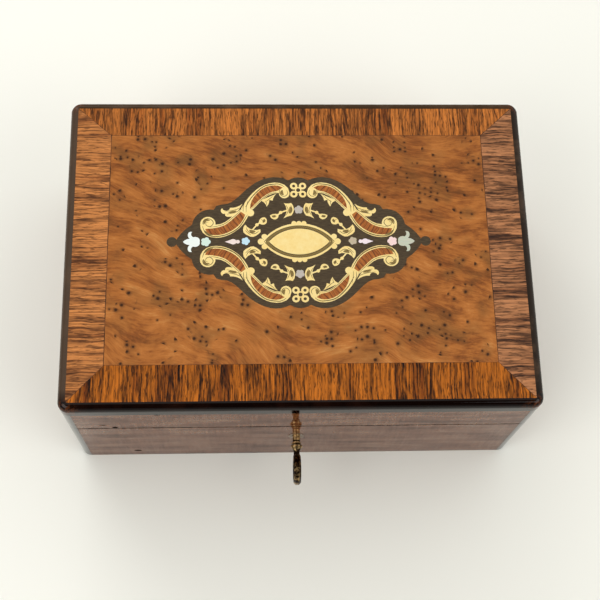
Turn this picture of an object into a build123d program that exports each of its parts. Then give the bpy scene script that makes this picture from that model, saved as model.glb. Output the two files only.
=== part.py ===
from build123d import *
import math
import os

# Marquetry box with a hinged lid, a half-mortise lock and its key.
# Millimetres. X runs to the right, Y to the back and Z up.
# The origin is the centre of the underside, and the lid is modelled closed.

# Overall size
LENGTH = 280.0
DEPTH = 198.0
HEIGHT = 114.0
LID_HEIGHT = 42.0

# Carcase
WALL = 10.0
VENEER = 1.0
BASE_THICKNESS = 6.0
BASE_REBATE = 4.0
CORNER_LAP = 3.0
STRIP_SIZE = 6.5
CORNER_RADIUS = 6.3
TOP_BOARD = 8.0

# Ebonised edge round the top of the lid
EDGE_WIDTH = 4.9
EDGE_HEIGHT = 11.0
EDGE_ROUND = 4.4

# Crossbanding round the burl field
BAND_LEFT = 20.9
BAND_RIGHT = 20.5
BAND_BACK = 18.8
BAND_FRONT = 21.8

# Lining
LINING = 1.6
LINING_DROP = 2.0
FLOOR_PAD = 4.0
LID_PAD = 5.0
PAD_ROUND = 2.5
PAD_CLEARANCE = 0.3

# Gaps between pieces that move
SPLIT_GAP = 0.3
MOVING_GAP = 0.3
RUNNING_FIT = 0.05
LETTING_IN = 0.1

# Hinges
HINGE_FROM_END = 55.0
HINGE_LENGTH = 40.0
HINGE_INSET = 3.0
LEAF_WIDTH = 7.0
LEAF_THICKNESS = 1.2
KNUCKLES = 5
BARREL_RADIUS = 2.25
PIN_RADIUS = 1.0
LID_OPENING = 95.0

# Wood screws
SCREW_HEAD_RADIUS = 1.9
SCREW_HEAD_DEPTH = 1.0
SCREW_RADIUS = 0.9
SCREW_LENGTH = 6.0
LEAF_SCREW_PITCH = 14.0

# Lock
LOCK_X = -1.5
KEY_DROP = 23.0
LOCK_MARGIN = 5.5
LOCK_HEIGHT = 31.0
LOCK_DEPTH = 8.0
LOCK_SHEET = 1.2
SELVEDGE = 1.5
CAP_SIDE_GAP = 1.2
CAP_WALL = 0.8
CAP_FOOT = 1.0
BOLT_THROW = 6.0
BOLT_THICKNESS = 2.2
BOLT_GAP = 0.4
BAR_FROM_KEY = 4.2
BAR_HEIGHT = 6.8
BAR_MARGIN = 2.75
STUD_RADIUS = 1.2
STUD_SHOULDER = 2.4
STUD_LEFT = 13.5
STUD_RIGHT = 13.5
STAPLE_OFFSET = 15.0
STAPLE_THICKNESS = 2.2
STAPLE_WIDTH = 5.0
STAPLE_DROP = 8.0
STAPLE_FOOT = 1.5
FINGER_HEIGHT = 3.0
NECK_WIDTH = 4.0
LINK_WIDTH = 52.0
LINK_SCREW_OFFSET = 22.5

# Key
SHANK_RADIUS = 2.3
POST_RADIUS = 1.0
BIT_REACH = 6.0
BIT_THICKNESS = 1.6
BIT_LENGTH = 5.2
WARD_WIDTH = 0.8
WARD_DEPTH = 1.8
POST_SHORT = 0.4
WARD_PLACES = (0.3, 0.7)
BOW_START = 12.0
BOW_LENGTH = 19.0
BOW_HEIGHT = 21.0
BOW_RIM = 4.0
BOW_THICKNESS = 4.4
BOW_BEVEL = 1.2
# The turned collars and the taper to the bow: distance in front of the box, then radius
COLLARS = (
    (4.9, 3.0), (5.6, 3.0), (5.9, 2.6), (6.2, 2.6), (6.6, 3.6), (7.6, 3.6), (9.0, 2.5), (10.4, 1.9),
)
COLLAR_START = 4.6
BOW_NECK = 2.0

# Escutcheon
PLATE_HALF_WIDTH = 5.0
PLATE_HALF_HEIGHT = 7.5
PLATE_PROUD = 0.2

# Medallion, measured from its own centre, and how far its saw cuts may leave the drawn curve
MEDALLION_Y = 4.2
SAW_TOLERANCE = 0.08

# Planes and lines that the pieces share
half_x = LENGTH / 2
half_y = DEPTH / 2
core_x = half_x - VENEER
core_y = half_y - VENEER
inner_x = core_x - WALL
inner_y = core_y - WALL
split_z = HEIGHT - LID_HEIGHT
rim_z = split_z - SPLIT_GAP / 2
lid_z = split_z + SPLIT_GAP / 2
edge_z = HEIGHT - EDGE_HEIGHT
board_top = HEIGHT - VENEER
board_z = board_top - TOP_BOARD
axis_y = half_y - HINGE_INSET
key_z = split_z - KEY_DROP
plate_y = -inner_y - LOCK_SHEET
cap_front_y = -inner_y - LOCK_DEPTH
cavity_front_y = cap_front_y + CAP_WALL
bolt_y = (plate_y + cavity_front_y) / 2
lock_foot_z = rim_z - LOCK_HEIGHT
field_left = -half_x + EDGE_WIDTH + BAND_LEFT
field_right = half_x - EDGE_WIDTH - BAND_RIGHT
field_back = half_y - EDGE_WIDTH - BAND_BACK
field_front = -half_y + EDGE_WIDTH + BAND_FRONT

# The bolt's necks stand clear of the staples, and the cap clears the necks at both ends of the throw
neck_near = STAPLE_OFFSET - STAPLE_THICKNESS / 2 - BOLT_GAP - BOLT_THROW
neck_far = STAPLE_OFFSET + STAPLE_THICKNESS / 2 + BOLT_GAP + BOLT_THROW + NECK_WIDTH
cap_half = neck_far + CAP_SIDE_GAP + CAP_WALL
lock_half = cap_half + LOCK_MARGIN


def block(x0, x1, y0, y1, z0, z1):
    """Return the box between two corners."""
    centre = Pos((x0 + x1) / 2, (y0 + y1) / 2, (z0 + z1) / 2)
    return centre * Box(x1 - x0, y1 - y0, z1 - z0)


def rod_x(radius, x0, x1, y, z):
    """Return a cylinder that lies along X."""
    return Pos((x0 + x1) / 2, y, z) * Rot(0, 90, 0) * Cylinder(radius, x1 - x0)


def rod_y(radius, y0, y1, x, z):
    """Return a cylinder that lies along Y."""
    return Pos(x, (y0 + y1) / 2, z) * Rot(90, 0, 0) * Cylinder(radius, y1 - y0)


def screw(direction, x, y, z):
    """Return a countersunk wood screw with its head's face at a point and its tip along a direction."""
    reach = SCREW_LENGTH - SCREW_HEAD_DEPTH
    head = Pos(0, 0, SCREW_HEAD_DEPTH / 2) * Cone(SCREW_HEAD_RADIUS, SCREW_RADIUS, SCREW_HEAD_DEPTH)
    shank = Pos(0, 0, SCREW_HEAD_DEPTH + reach / 2) * Cylinder(SCREW_RADIUS, reach)
    return Plane(origin=(x, y, z), z_dir=direction) * (head + shank)


def back_groove(side):
    """Return the V cut that lets the lid open and stops it; side is -1 below the split and 1 above."""
    lean = math.radians(LID_OPENING / 2)
    half_gap = SPLIT_GAP / 2
    apex_y = axis_y - half_gap * math.sin(lean) + half_gap * math.tan(lean / 2) * math.cos(lean)
    back = half_y + VENEER
    drop = (back - apex_y) * math.tan(lean)
    near = split_z + side * half_gap
    points = [(apex_y, near), (back, near + side * drop), (back, split_z), (apex_y, split_z)]
    face = Plane.YZ * make_face(Polyline(*points, close=True))
    return Pos(-half_x - VENEER, 0, 0) * extrude(face, LENGTH + 2 * VENEER)


def hinge_centres():
    """Return the middle of each hinge along X."""
    reach = half_x - HINGE_FROM_END
    return [-reach, reach]


def barrel_room(middle):
    """Return the space that a hinge's barrel turns in."""
    reach = HINGE_LENGTH / 2 + MOVING_GAP
    return rod_x(BARREL_RADIUS + MOVING_GAP, middle - reach, middle + reach, axis_y, split_z)


def leaf_plate(middle, side):
    """Return the flat of a hinge leaf before its knuckles are added."""
    near = split_z + side * SPLIT_GAP / 2
    far = near + side * LEAF_THICKNESS
    reach = HINGE_LENGTH / 2
    return block(middle - reach, middle + reach, axis_y - LEAF_WIDTH, axis_y, min(near, far), max(near, far))


def knuckle_spans(middle):
    """Return the start and end of each knuckle along X."""
    long = (HINGE_LENGTH - (KNUCKLES - 1) * MOVING_GAP) / KNUCKLES
    start = middle - HINGE_LENGTH / 2
    return [(start + k * (long + MOVING_GAP), start + k * (long + MOVING_GAP) + long) for k in range(KNUCKLES)]


def leaf_screws(middle, side):
    """Return the three screws of a hinge leaf."""
    y = axis_y - LEAF_WIDTH + (LEAF_WIDTH - BARREL_RADIUS) / 2
    z = split_z + side * SPLIT_GAP / 2
    return [screw((0, 0, side), middle + k * LEAF_SCREW_PITCH, y, z) for k in (-1, 0, 1)]


def hinge_leaf(middle, side):
    """Return one leaf: its flat, its share of the knuckles, the pin's bore and the screw holes."""
    leaf = leaf_plate(middle, side)
    for number, (x0, x1) in enumerate(knuckle_spans(middle)):
        mine = number % 2 == (0 if side < 0 else 1)
        if mine:
            leaf += rod_x(BARREL_RADIUS, x0, x1, axis_y, split_z)
        else:
            room = BARREL_RADIUS + MOVING_GAP
            leaf -= rod_x(room, x0 - MOVING_GAP, x1 + MOVING_GAP, axis_y, split_z)
    leaf -= rod_x(PIN_RADIUS + RUNNING_FIT, middle - HINGE_LENGTH, middle + HINGE_LENGTH, axis_y, split_z)
    for each in leaf_screws(middle, side):
        leaf -= each
    return leaf


def keyhole(y0, y1):
    """Return the hole for the key's shank and bit between two depths."""
    slot = BIT_THICKNESS / 2 + MOVING_GAP
    reach = BIT_REACH + BOLT_GAP
    hole = rod_y(SHANK_RADIUS + MOVING_GAP, y0, y1, LOCK_X, key_z)
    return hole + block(LOCK_X - slot, LOCK_X + slot, y0, y1, key_z - reach, key_z)


def lock_screws():
    """Return the lock's two screws through its selvedge and two through its back plate."""
    x = (lock_half + cap_half) / 2
    middle_y = (plate_y + cap_front_y) / 2
    low_z = (lock_foot_z + key_z) / 2
    found = []
    for side in (-1, 1):
        found.append(screw((0, 0, -1), LOCK_X + side * x, middle_y, rim_z))
        found.append(screw((0, -1, 0), LOCK_X + side * x, -inner_y, low_z))
    return found


def link_screws():
    """Return the two screws that hold the link plate under the lid."""
    y = (cap_front_y - inner_y) / 2
    return [screw((0, 0, 1), LOCK_X + side * LINK_SCREW_OFFSET, y, lid_z) for side in (-1, 1)]


def lock_mortise():
    """Return the space cut in the front wall for the lock's cap, back plate and selvedge."""
    wide = lock_half + LETTING_IN
    deep = cap_half + LETTING_IN
    front = cap_front_y - LETTING_IN
    foot = lock_foot_z - LETTING_IN
    cap_room = block(LOCK_X - deep, LOCK_X + deep, front, -inner_y, foot, rim_z)
    plate_room = block(LOCK_X - wide, LOCK_X + wide, plate_y, -inner_y, foot, rim_z)
    selvedge_room = block(LOCK_X - wide, LOCK_X + wide, front, -inner_y, rim_z - SELVEDGE, rim_z)
    return cap_room + plate_room + selvedge_room


def corner_posts(z0, z1):
    """Return the four square corners that the ebonised strips take up."""
    posts = []
    for sx in (-1, 1):
        for sy in (-1, 1):
            xs = sorted((sx * (half_x - STRIP_SIZE), sx * half_x))
            ys = sorted((sy * (half_y - STRIP_SIZE), sy * half_y))
            posts.append(block(xs[0], xs[1], ys[0], ys[1], z0, z1))
    return posts


def outer_form(z0, z1):
    """Return the rounded upright outline of the whole box between two heights."""
    return extrude(Pos(0, 0, z0) * RectangleRounded(LENGTH, DEPTH, CORNER_RADIUS), z1 - z0)


def long_wall(side, z0, z1):
    """Return a front or back wall, rebated at its ends for the side walls and the corner strips."""
    ys = sorted((side * inner_y, side * core_y))
    wall = block(-core_x, core_x, ys[0], ys[1], z0, z1)
    laps = sorted((side * inner_y, side * (inner_y + CORNER_LAP)))
    for end in (-1, 1):
        xs = sorted((end * inner_x, end * core_x))
        wall -= block(xs[0], xs[1], laps[0], laps[1], z0, z1)
    for post in corner_posts(z0, min(z1, edge_z)):
        wall -= post
    return wall


def short_wall(side, z0, z1):
    """Return a left or right wall, which runs into the rebates of the long walls."""
    xs = sorted((side * inner_x, side * core_x))
    return block(xs[0], xs[1], -inner_y - CORNER_LAP, inner_y + CORNER_LAP, z0, z1)


def base_panel():
    reach_x = inner_x + BASE_REBATE
    reach_y = inner_y + BASE_REBATE
    return block(-reach_x, reach_x, -reach_y, reach_y, 0, BASE_THICKNESS)


def wall_front():
    wall = long_wall(-1, 0, rim_z) - base_panel() - lock_mortise()
    wall -= keyhole(-half_y, -inner_y)
    for each in lock_screws():
        wall -= each
    return wall


def wall_back():
    wall = long_wall(1, 0, rim_z) - base_panel() - back_groove(-1)
    for middle in hinge_centres():
        wall -= leaf_plate(middle, -1)
        wall -= barrel_room(middle)
        for each in leaf_screws(middle, -1):
            wall -= each
    return wall


def lid_board():
    reach_x = half_x - EDGE_WIDTH
    reach_y = half_y - EDGE_WIDTH
    return block(-reach_x, reach_x, -reach_y, reach_y, board_z, board_top)


def lid_wall_front():
    wall = long_wall(-1, lid_z, board_z) - edge_block()
    wall -= link_room()
    for each in link_screws():
        wall -= each
    return wall


def lid_wall_back():
    wall = long_wall(1, lid_z, board_z) - edge_block() - back_groove(1)
    for middle in hinge_centres():
        wall -= leaf_plate(middle, 1)
        wall -= barrel_room(middle)
        for each in leaf_screws(middle, 1):
            wall -= each
    return wall


def long_veneer(side, z0, z1):
    """Return the veneer of the front or back between its corner strips."""
    reach = half_x - STRIP_SIZE
    ys = sorted((side * core_y, side * half_y))
    return block(-reach, reach, ys[0], ys[1], z0, z1)


def short_veneer(side, z0, z1):
    """Return the veneer of the left or right side between its corner strips."""
    reach = half_y - STRIP_SIZE
    xs = sorted((side * core_x, side * half_x))
    return block(xs[0], xs[1], -reach, reach, z0, z1)


def plate_face():
    """Return the escutcheon's oval, centred on its keyhole."""
    top = key_z + SHANK_RADIUS + MOVING_GAP
    foot = key_z - BIT_REACH - BOLT_GAP
    oval = Ellipse(PLATE_HALF_WIDTH, PLATE_HALF_HEIGHT)
    return Plane(origin=(LOCK_X, 0, (top + foot) / 2), x_dir=(1, 0, 0), z_dir=(0, -1, 0)) * oval


def escutcheon():
    oval = Pos(0, -core_y, 0) * extrude(plate_face(), VENEER + PLATE_PROUD)
    return oval - keyhole(-half_y - VENEER, -core_y)


def veneer_front():
    return long_veneer(-1, 0, rim_z) - Pos(0, -core_y, 0) * extrude(plate_face(), VENEER)


def corner_strips(z0, z1, side):
    """Return the four ebonised corner strips, rounded as the box is and cut by the back groove."""
    form = outer_form(z0, z1)
    return [(post & form) - back_groove(side) for post in corner_posts(z0, z1)]


def edge_block():
    """Return the ring of square section that the ebonised edge is worked from."""
    hollow_x = half_x - EDGE_WIDTH
    hollow_y = half_y - EDGE_WIDTH
    ring = block(-half_x, half_x, -half_y, half_y, edge_z, HEIGHT)
    return ring - block(-hollow_x, hollow_x, -hollow_y, hollow_y, edge_z, HEIGHT)


def edge_ring():
    """Return the whole ebonised edge with its rounded arris, before it is mitred."""
    form = outer_form(edge_z, HEIGHT)
    form = fillet(form.faces().sort_by(Axis.Z)[-1].edges(), EDGE_ROUND)
    hollow_x = half_x - EDGE_WIDTH
    hollow_y = half_y - EDGE_WIDTH
    return form - block(-hollow_x, hollow_x, -hollow_y, hollow_y, edge_z, HEIGHT)


def quarter(side_x, side_y, z0, z1):
    """Return the wedge of one side of the lid between its two mitres, for cutting a ring into four."""
    far = LENGTH
    turn = EDGE_WIDTH
    if side_y:
        near_y = side_y * (half_y - turn)
        far_y = near_y + side_y * far
        near_x = half_x - turn
        points = [(-near_x, near_y), (near_x, near_y), (near_x + far, far_y), (-near_x - far, far_y)]
    else:
        near_x = side_x * (half_x - turn)
        far_x = near_x + side_x * far
        near_y = half_y - turn
        points = [(near_x, -near_y), (near_x, near_y), (far_x, near_y + far), (far_x, -near_y - far)]
    return extrude(Pos(0, 0, z0) * make_face(Polyline(*points, close=True)), z1 - z0)


def band(corners):
    """Return one crossbanding strip from its four corners."""
    return extrude(Pos(0, 0, board_top) * make_face(Polyline(*corners, close=True)), VENEER)


def crossbanding():
    """Return the four mitred strips between the ebonised edge and the burl field."""
    out_x = half_x - EDGE_WIDTH
    out_y = half_y - EDGE_WIDTH
    outer = {"bl": (-out_x, out_y), "br": (out_x, out_y), "fr": (out_x, -out_y), "fl": (-out_x, -out_y)}
    inner = {
        "bl": (field_left, field_back),
        "br": (field_right, field_back),
        "fr": (field_right, field_front),
        "fl": (field_left, field_front),
    }
    ends = {"back": ("bl", "br"), "right": ("br", "fr"), "front": ("fr", "fl"), "left": ("fl", "bl")}
    return {name: band([outer[a], outer[b], inner[b], inner[a]]) for name, (a, b) in ends.items()}


def faced(edges):
    """Return the flat face inside a loop of edges, looking up."""
    face = Face(Wire(edges))
    return face if face.normal_at().Z > 0 else -face


def cuts_for(length, turn):
    """Return how many straight cuts keep to a curve of a length that turns through an angle in radians."""
    return max(2, math.ceil(math.sqrt(length * turn / (8 * SAW_TOLERANCE))))


def run_edges(points):
    """Return a run of points as edges: two make a line, three an arc and more a smooth curve, sawn in cuts."""
    if len(points) == 2:
        return [Line(*points)]
    curve = ThreePointArc(*points) if len(points) == 3 else Spline(*points)
    turn = sum(abs((curve % (k / 8)).get_angle(curve % ((k + 1) / 8))) for k in range(8))
    cuts = cuts_for(curve.length, math.radians(turn))
    ends = [points[0], *(curve @ (k / cuts) for k in range(1, cuts)), points[-1]]
    return [Line(a, b) for a, b in zip(ends, ends[1:])]


def closed(*runs):
    """Return the face inside a closed loop of runs of points."""
    return faced([edge for run in runs for edge in run_edges(run)])


def disc(x, y, radius):
    """Return a small disc, sawn in as many straight cuts as a curve of its length and turn."""
    turn = 2 * math.pi
    return Pos(x, y) * RegularPolygon(radius, cuts_for(turn * radius, turn))


def reflected(shape, plane):
    """Return the mirror image of a flat shape, with its faces still looking up."""
    image = mirror(shape, plane)
    return Sketch() + [face if face.normal_at().Z > 0 else -face for face in image.faces()]


def four_ways(face):
    """Return a face of the right back quarter with its mirror images in the other quarters."""
    right = [face, reflected(face, Plane.XZ)]
    return right + [reflected(each, Plane.YZ) for each in right]


def both_sides(face):
    return [face, reflected(face, Plane.YZ)]


def front_and_back(face):
    return [face, reflected(face, Plane.XZ)]


# Each outline of the medallion is given for its right back quarter.

def ground_face():
    """Return the dark ground: an end ball, then lobes that meet in notches up to the middle."""
    quarter_runs = [
        [(73.3, 2.0), (69.4, 7.0), (64.3, 11.2)],
        [(64.3, 11.2), (60.8, 18.2), (51.3, 21.0)],
        [(51.3, 21.0), (48.3, 24.2), (44.2, 24.6), (37.6, 28.4), (31.0, 35.0), (19.0, 42.0), (6.0, 40.4)],
        [(6.0, 40.4), (3.2, 41.9), (0.0, 42.4)],
    ]
    middle = [[(0.0, 42.4), (0.0, 0.0)], [(0.0, 0.0), (73.3, 0.0)], [(73.3, 0.0), (73.3, 2.0)]]
    whole = Sketch() + four_ways(closed(*quarter_runs, *middle))
    for x in (-76.2, 76.2):
        whole += disc(x, 0, 3.2)
    return whole


def scroll_face():
    """Return one brass scroll: two limbs with their volutes, the joint between them and two leaves."""
    lower = closed(
        [(50.2, 11.1), (54.7, 16.3), (59.4, 11.3)],
        [(59.4, 11.3), (56.4, 4.6), (49.5, 2.6), (42.0, 4.5), (35.3, 9.4), (30.2, 17.8)],
        [(30.2, 17.8), (35.0, 21.1)],
        [(35.0, 21.1), (40.0, 16.6), (45.0, 12.5), (50.2, 11.1)],
    )
    upper = closed(
        [(28.6, 20.3), (22.0, 27.3), (17.0, 31.0), (11.8, 32.0)],
        [(11.8, 32.0), (8.6, 28.4), (5.3, 32.2)],
        [(5.3, 32.2), (8.2, 37.4), (14.0, 39.0), (23.0, 36.1), (30.0, 29.3), (35.0, 21.3)],
        [(35.0, 21.3), (28.6, 20.3)],
    )
    leaf = closed(
        [(34.0, 24.8), (37.0, 22.9), (41.5, 22.2)],
        [(41.5, 22.2), (42.0, 20.9), (44.8, 20.4), (46.2, 21.9)],
        [(46.2, 21.9), (47.1, 20.6), (46.2, 18.6), (44.5, 18.3)],
        [(44.5, 18.3), (44.3, 16.9), (41.0, 16.4), (38.2, 17.2)],
        [(38.2, 17.2), (34.0, 24.8)],
    )
    small_leaf = closed(
        [(22.2, 26.6), (20.6, 25.4), (19.3, 22.9)],
        [(19.3, 22.9), (18.0, 25.2), (17.6, 27.4)],
        [(17.6, 27.4), (15.7, 26.8)],
        [(15.7, 26.8), (15.0, 29.2), (13.4, 31.4)],
        [(13.4, 31.4), (22.2, 27.4)],
        [(22.2, 27.4), (22.2, 26.6)],
    )
    return Sketch() + [lower, upper, leaf, small_leaf, disc(29.2, 18.8, 2.3), disc(32.2, 20.4, 2.6)]


def rosewood_faces():
    """Return the two rosewood pieces that fill one scroll's limbs."""
    lower = closed(
        [(56.4, 8.4), (55.4, 6.0), (49.5, 4.3), (43.0, 5.9), (37.0, 9.9), (32.3, 17.6)],
        [(32.3, 17.6), (34.9, 19.6)],
        [(34.9, 19.6), (39.4, 15.2), (44.6, 10.8), (50.6, 8.9), (56.4, 8.4)],
    )
    upper = closed(
        [(29.4, 21.4), (28.4, 26.8), (24.8, 32.2), (19.6, 36.0), (13.6, 37.1), (9.4, 35.6)],
        [(9.4, 35.6), (12.4, 33.5)],
        [(12.4, 33.5), (17.6, 32.0), (23.0, 28.0), (29.4, 21.4)],
    )
    return [lower, upper]


def cartouche_face():
    """Return the almond plate with small lobes at its ends and in the middle of its long sides."""
    almond = closed([(-22.6, 0.0), (0.0, 11.9), (22.6, 0.0)], [(22.6, 0.0), (0.0, -11.9), (-22.6, 0.0)])
    plate = Sketch() + almond
    for side in (-1, 1):
        plate += disc(side * 23.0, 0, 2.0)
        plate += disc(side * 20.9, 3.2, 1.8)
        plate += disc(side * 20.9, -3.2, 1.8)
        for x in (-3.0, 0.0, 3.0):
            plate += disc(x, side * 11.8, 1.6)
    return plate


def ring_face():
    """Return one knot of four rings round a centre hole."""
    knot = Sketch() + Pos(0, 33.9) * Rectangle(4.0, 4.0)
    holes = [disc(0, 33.9, 1.3)]
    for x in (-2.7, 2.7):
        for y in (31.2, 36.6):
            knot += disc(x, y, 2.3)
            holes.append(disc(x, y, 1.0))
    return knot - holes


def stem(start, middle, end):
    """Return a stem of two straight lengths with a swelling where they meet."""
    pieces = [disc(middle[0], middle[1], 1.1)]
    for a, b in ((start, middle), (middle, end)):
        long = math.dist(a, b)
        turn = math.degrees(math.atan2(b[1] - a[1], b[0] - a[0]))
        pieces.append(Pos((a[0] + b[0]) / 2, (a[1] + b[1]) / 2) * Rot(0, 0, turn) * Rectangle(long + 1.0, 0.9))
    return pieces


def flower_faces():
    """Return the two brass flowers of one quarter, each with its stem and bud."""
    side_bell = closed(
        [(32.4, 11.1), (33.7, 8.2), (33.4, 6.0), (30.6, 3.9), (28.2, 3.0), (25.8, 3.9), (23.2, 6.1)],
        [(23.2, 6.1), (23.3, 8.1)],
        [(23.3, 8.1), (27.6, 7.7), (32.4, 11.1)],
    )
    side_bud = closed(
        [(24.2, 12.4), (22.3, 15.6), (20.6, 15.9)],
        [(20.6, 15.9), (19.3, 13.9), (19.9, 11.6), (22.8, 11.2), (24.2, 12.4)],
    )
    top_bell = closed(
        [(8.9, 25.3), (6.6, 24.9), (4.4, 25.3)],
        [(4.4, 25.3), (2.9, 20.6), (4.4, 17.0)],
        [(4.4, 17.0), (7.0, 16.3), (9.3, 15.1)],
        [(9.3, 15.1), (7.3, 20.2), (8.9, 25.3)],
    )
    top_bud = closed(
        [(12.6, 18.0), (14.8, 18.1), (17.4, 17.2)],
        [(17.4, 17.2), (16.0, 14.9), (14.0, 14.5), (12.4, 15.9), (12.6, 18.0)],
    )
    side = Sketch() + [side_bell, side_bud] + stem((27.8, 8.0), (25.3, 11.0), (22.8, 13.0))
    top = Sketch() + [top_bell, top_bud] + stem((7.2, 20.4), (10.9, 19.0), (13.0, 17.0))
    return [side, top]


def mirrored_runs(half):
    """Return the runs that go back along the other side of the X axis."""
    return [[(x, -y) for x, y in reversed(run)] for run in reversed(half)]


def fleur_face():
    """Return one end flower: a pointed middle petal between two that turn out."""
    half = [
        [(59.6, 0.0), (60.2, 2.4), (62.0, 3.2), (63.6, 3.0)],
        [(63.6, 3.0), (64.8, 4.6), (64.2, 6.5)],
        [(64.2, 6.5), (66.4, 5.8), (66.6, 3.4), (65.6, 2.0)],
        [(65.6, 2.0), (67.4, 1.7), (69.6, 0.0)],
    ]
    return closed(*half, *mirrored_runs(half))


def blossom_face(x, y, radius, turn):
    """Return a five-lobed blossom: lobes that meet on a smaller circle, the first at an angle in degrees."""
    lobes = 5
    inner = 0.78 * radius
    first = math.radians(turn)
    runs = []
    for k in range(lobes):
        a, m, b = (first + 2 * math.pi * (k + step) / lobes for step in (0.0, 0.5, 1.0))
        ends = [(x + inner * math.cos(t), y + inner * math.sin(t)) for t in (a, b)]
        tip = (x + radius * math.cos(m), y + radius * math.sin(m))
        runs.append([ends[0], tip, ends[1]])
    return closed(*runs)


def drop_face():
    """Return one pointed drop with a bead at its blunt end."""
    half = [
        [(35.6, 0.0), (36.4, 1.1), (37.8, 0.8)],
        [(37.8, 0.8), (39.2, 1.7), (41.2, 1.2)],
        [(41.2, 1.2), (44.6, 0.0)],
    ]
    return closed(*half, *mirrored_runs(half))


def inlay(faces):
    """Return faces of the medallion as pieces as thick as the veneer, in their place on the lid."""
    return [Pos(0, MEDALLION_Y, board_top) * extrude(face, VENEER) for face in faces]


def medallion():
    """Return the medallion's pieces by name, with the ground cut out for all that lies in it."""
    rosewood = rosewood_faces()
    scroll = scroll_face() - rosewood
    scrolls = four_ways(scroll)
    rosewoods = [turned for face in rosewood for turned in four_ways(face)]
    cartouche = [cartouche_face()]
    rings = front_and_back(ring_face())
    flowers = [turned for face in flower_faces() for turned in four_ways(face)]
    fleurs = both_sides(fleur_face())
    blossoms = both_sides(blossom_face(56.0, 0.0, 3.0, 0)) + both_sides(blossom_face(32.2, 0.3, 2.6, 0))
    blossoms += front_and_back(blossom_face(0.0, 20.8, 2.8, 54))
    drops = both_sides(drop_face())
    ground = ground_face()
    for group in (scrolls, rosewoods, cartouche, rings, flowers, fleurs, blossoms, drops):
        for face in group:
            ground -= face
    return {
        "medallion_ground": inlay([ground]),
        "brass_scrolls": inlay(scrolls),
        "rosewood_inlays": inlay(rosewoods),
        "brass_cartouche": inlay(cartouche),
        "brass_rings": inlay(rings),
        "brass_flowers": inlay(flowers),
        "pearl_fleurs": inlay(fleurs),
        "pearl_blossoms": inlay(blossoms),
        "pearl_drops": inlay(drops),
    }


def burl_field():
    field = block(field_left, field_right, field_front, field_back, board_top, HEIGHT)
    return field - inlay([ground_face()])[0]


def padded(x0, x1, y0, y1, z0, z1, up):
    """Return a pad with its exposed edges rounded; up is True where its top shows."""
    pad = block(x0, x1, y0, y1, z0, z1)
    shown = pad.faces().sort_by(Axis.Z)[-1 if up else 0]
    return fillet(shown.edges(), PAD_ROUND)


def floor_pad():
    reach_x = inner_x - LINING - PAD_CLEARANCE
    reach_y = inner_y - LINING - PAD_CLEARANCE
    return padded(-reach_x, reach_x, -reach_y, reach_y, BASE_THICKNESS, BASE_THICKNESS + FLOOR_PAD, True)


def lid_pad():
    reach_x = inner_x - LINING - PAD_CLEARANCE
    reach_y = inner_y - LINING - PAD_CLEARANCE
    return padded(-reach_x, reach_x, -reach_y, reach_y, board_z - LID_PAD, board_z, False)


def lining_long(side, z0, z1):
    ys = sorted((side * (inner_y - LINING), side * inner_y))
    return block(-inner_x, inner_x, ys[0], ys[1], z0, z1)


def lining_short(side, z0, z1):
    xs = sorted((side * (inner_x - LINING), side * inner_x))
    reach = inner_y - LINING
    return block(xs[0], xs[1], -reach, reach, z0, z1)


def lining_front():
    wide = lock_half + PAD_CLEARANCE
    foot = lock_foot_z - PAD_CLEARANCE
    lining = lining_long(-1, BASE_THICKNESS, rim_z - LINING_DROP)
    return lining - block(LOCK_X - wide, LOCK_X + wide, -inner_y, -inner_y + LINING, foot, rim_z)


def lock_plate():
    """Return the lock's back plate and selvedge, with the slots that take the staples."""
    left = LOCK_X - lock_half
    right = LOCK_X + lock_half
    plate = block(left, right, plate_y, -inner_y, lock_foot_z, rim_z)
    plate += block(left, right, cap_front_y, -inner_y, rim_z - SELVEDGE, rim_z)
    slot_x = STAPLE_THICKNESS / 2 + BOLT_GAP
    slot_y = STAPLE_WIDTH / 2 + MOVING_GAP
    for side in (-1, 1):
        x = LOCK_X + side * STAPLE_OFFSET
        plate -= block(x - slot_x, x + slot_x, bolt_y - slot_y, bolt_y + slot_y, rim_z - SELVEDGE, rim_z)
    for each in lock_screws():
        plate -= each
    return plate


def lock_cap():
    """Return the thin box that covers the works, open to the back plate and under the selvedge."""
    foot = lock_foot_z + CAP_FOOT
    top = rim_z - SELVEDGE
    cap = block(LOCK_X - cap_half, LOCK_X + cap_half, cap_front_y, plate_y, foot, top)
    room = cap_half - CAP_WALL
    cap -= block(LOCK_X - room, LOCK_X + room, cavity_front_y, plate_y, foot + CAP_WALL, top)
    return cap - keyhole(cap_front_y, cavity_front_y)


def stud_places():
    """Return the middle of each bolt stud in the lock."""
    z = key_z + BAR_FROM_KEY + BAR_HEIGHT / 2 + STUD_RADIUS / 2
    return [(LOCK_X - STUD_LEFT, z), (LOCK_X + STUD_RIGHT, z)]


def lock_pins():
    """Return the post that the key turns on and the two shouldered studs that guide the bolt."""
    post = rod_y(POST_RADIUS, cavity_front_y + POST_SHORT, plate_y, LOCK_X, key_z)
    found = [post]
    shoulder_end = bolt_y + BOLT_THICKNESS / 2 + RUNNING_FIT
    for x, z in stud_places():
        stud = rod_y(STUD_RADIUS, cavity_front_y, plate_y, x, z)
        found.append(stud + rod_y(STUD_SHOULDER, shoulder_end, plate_y, x, z))
    return found


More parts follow.
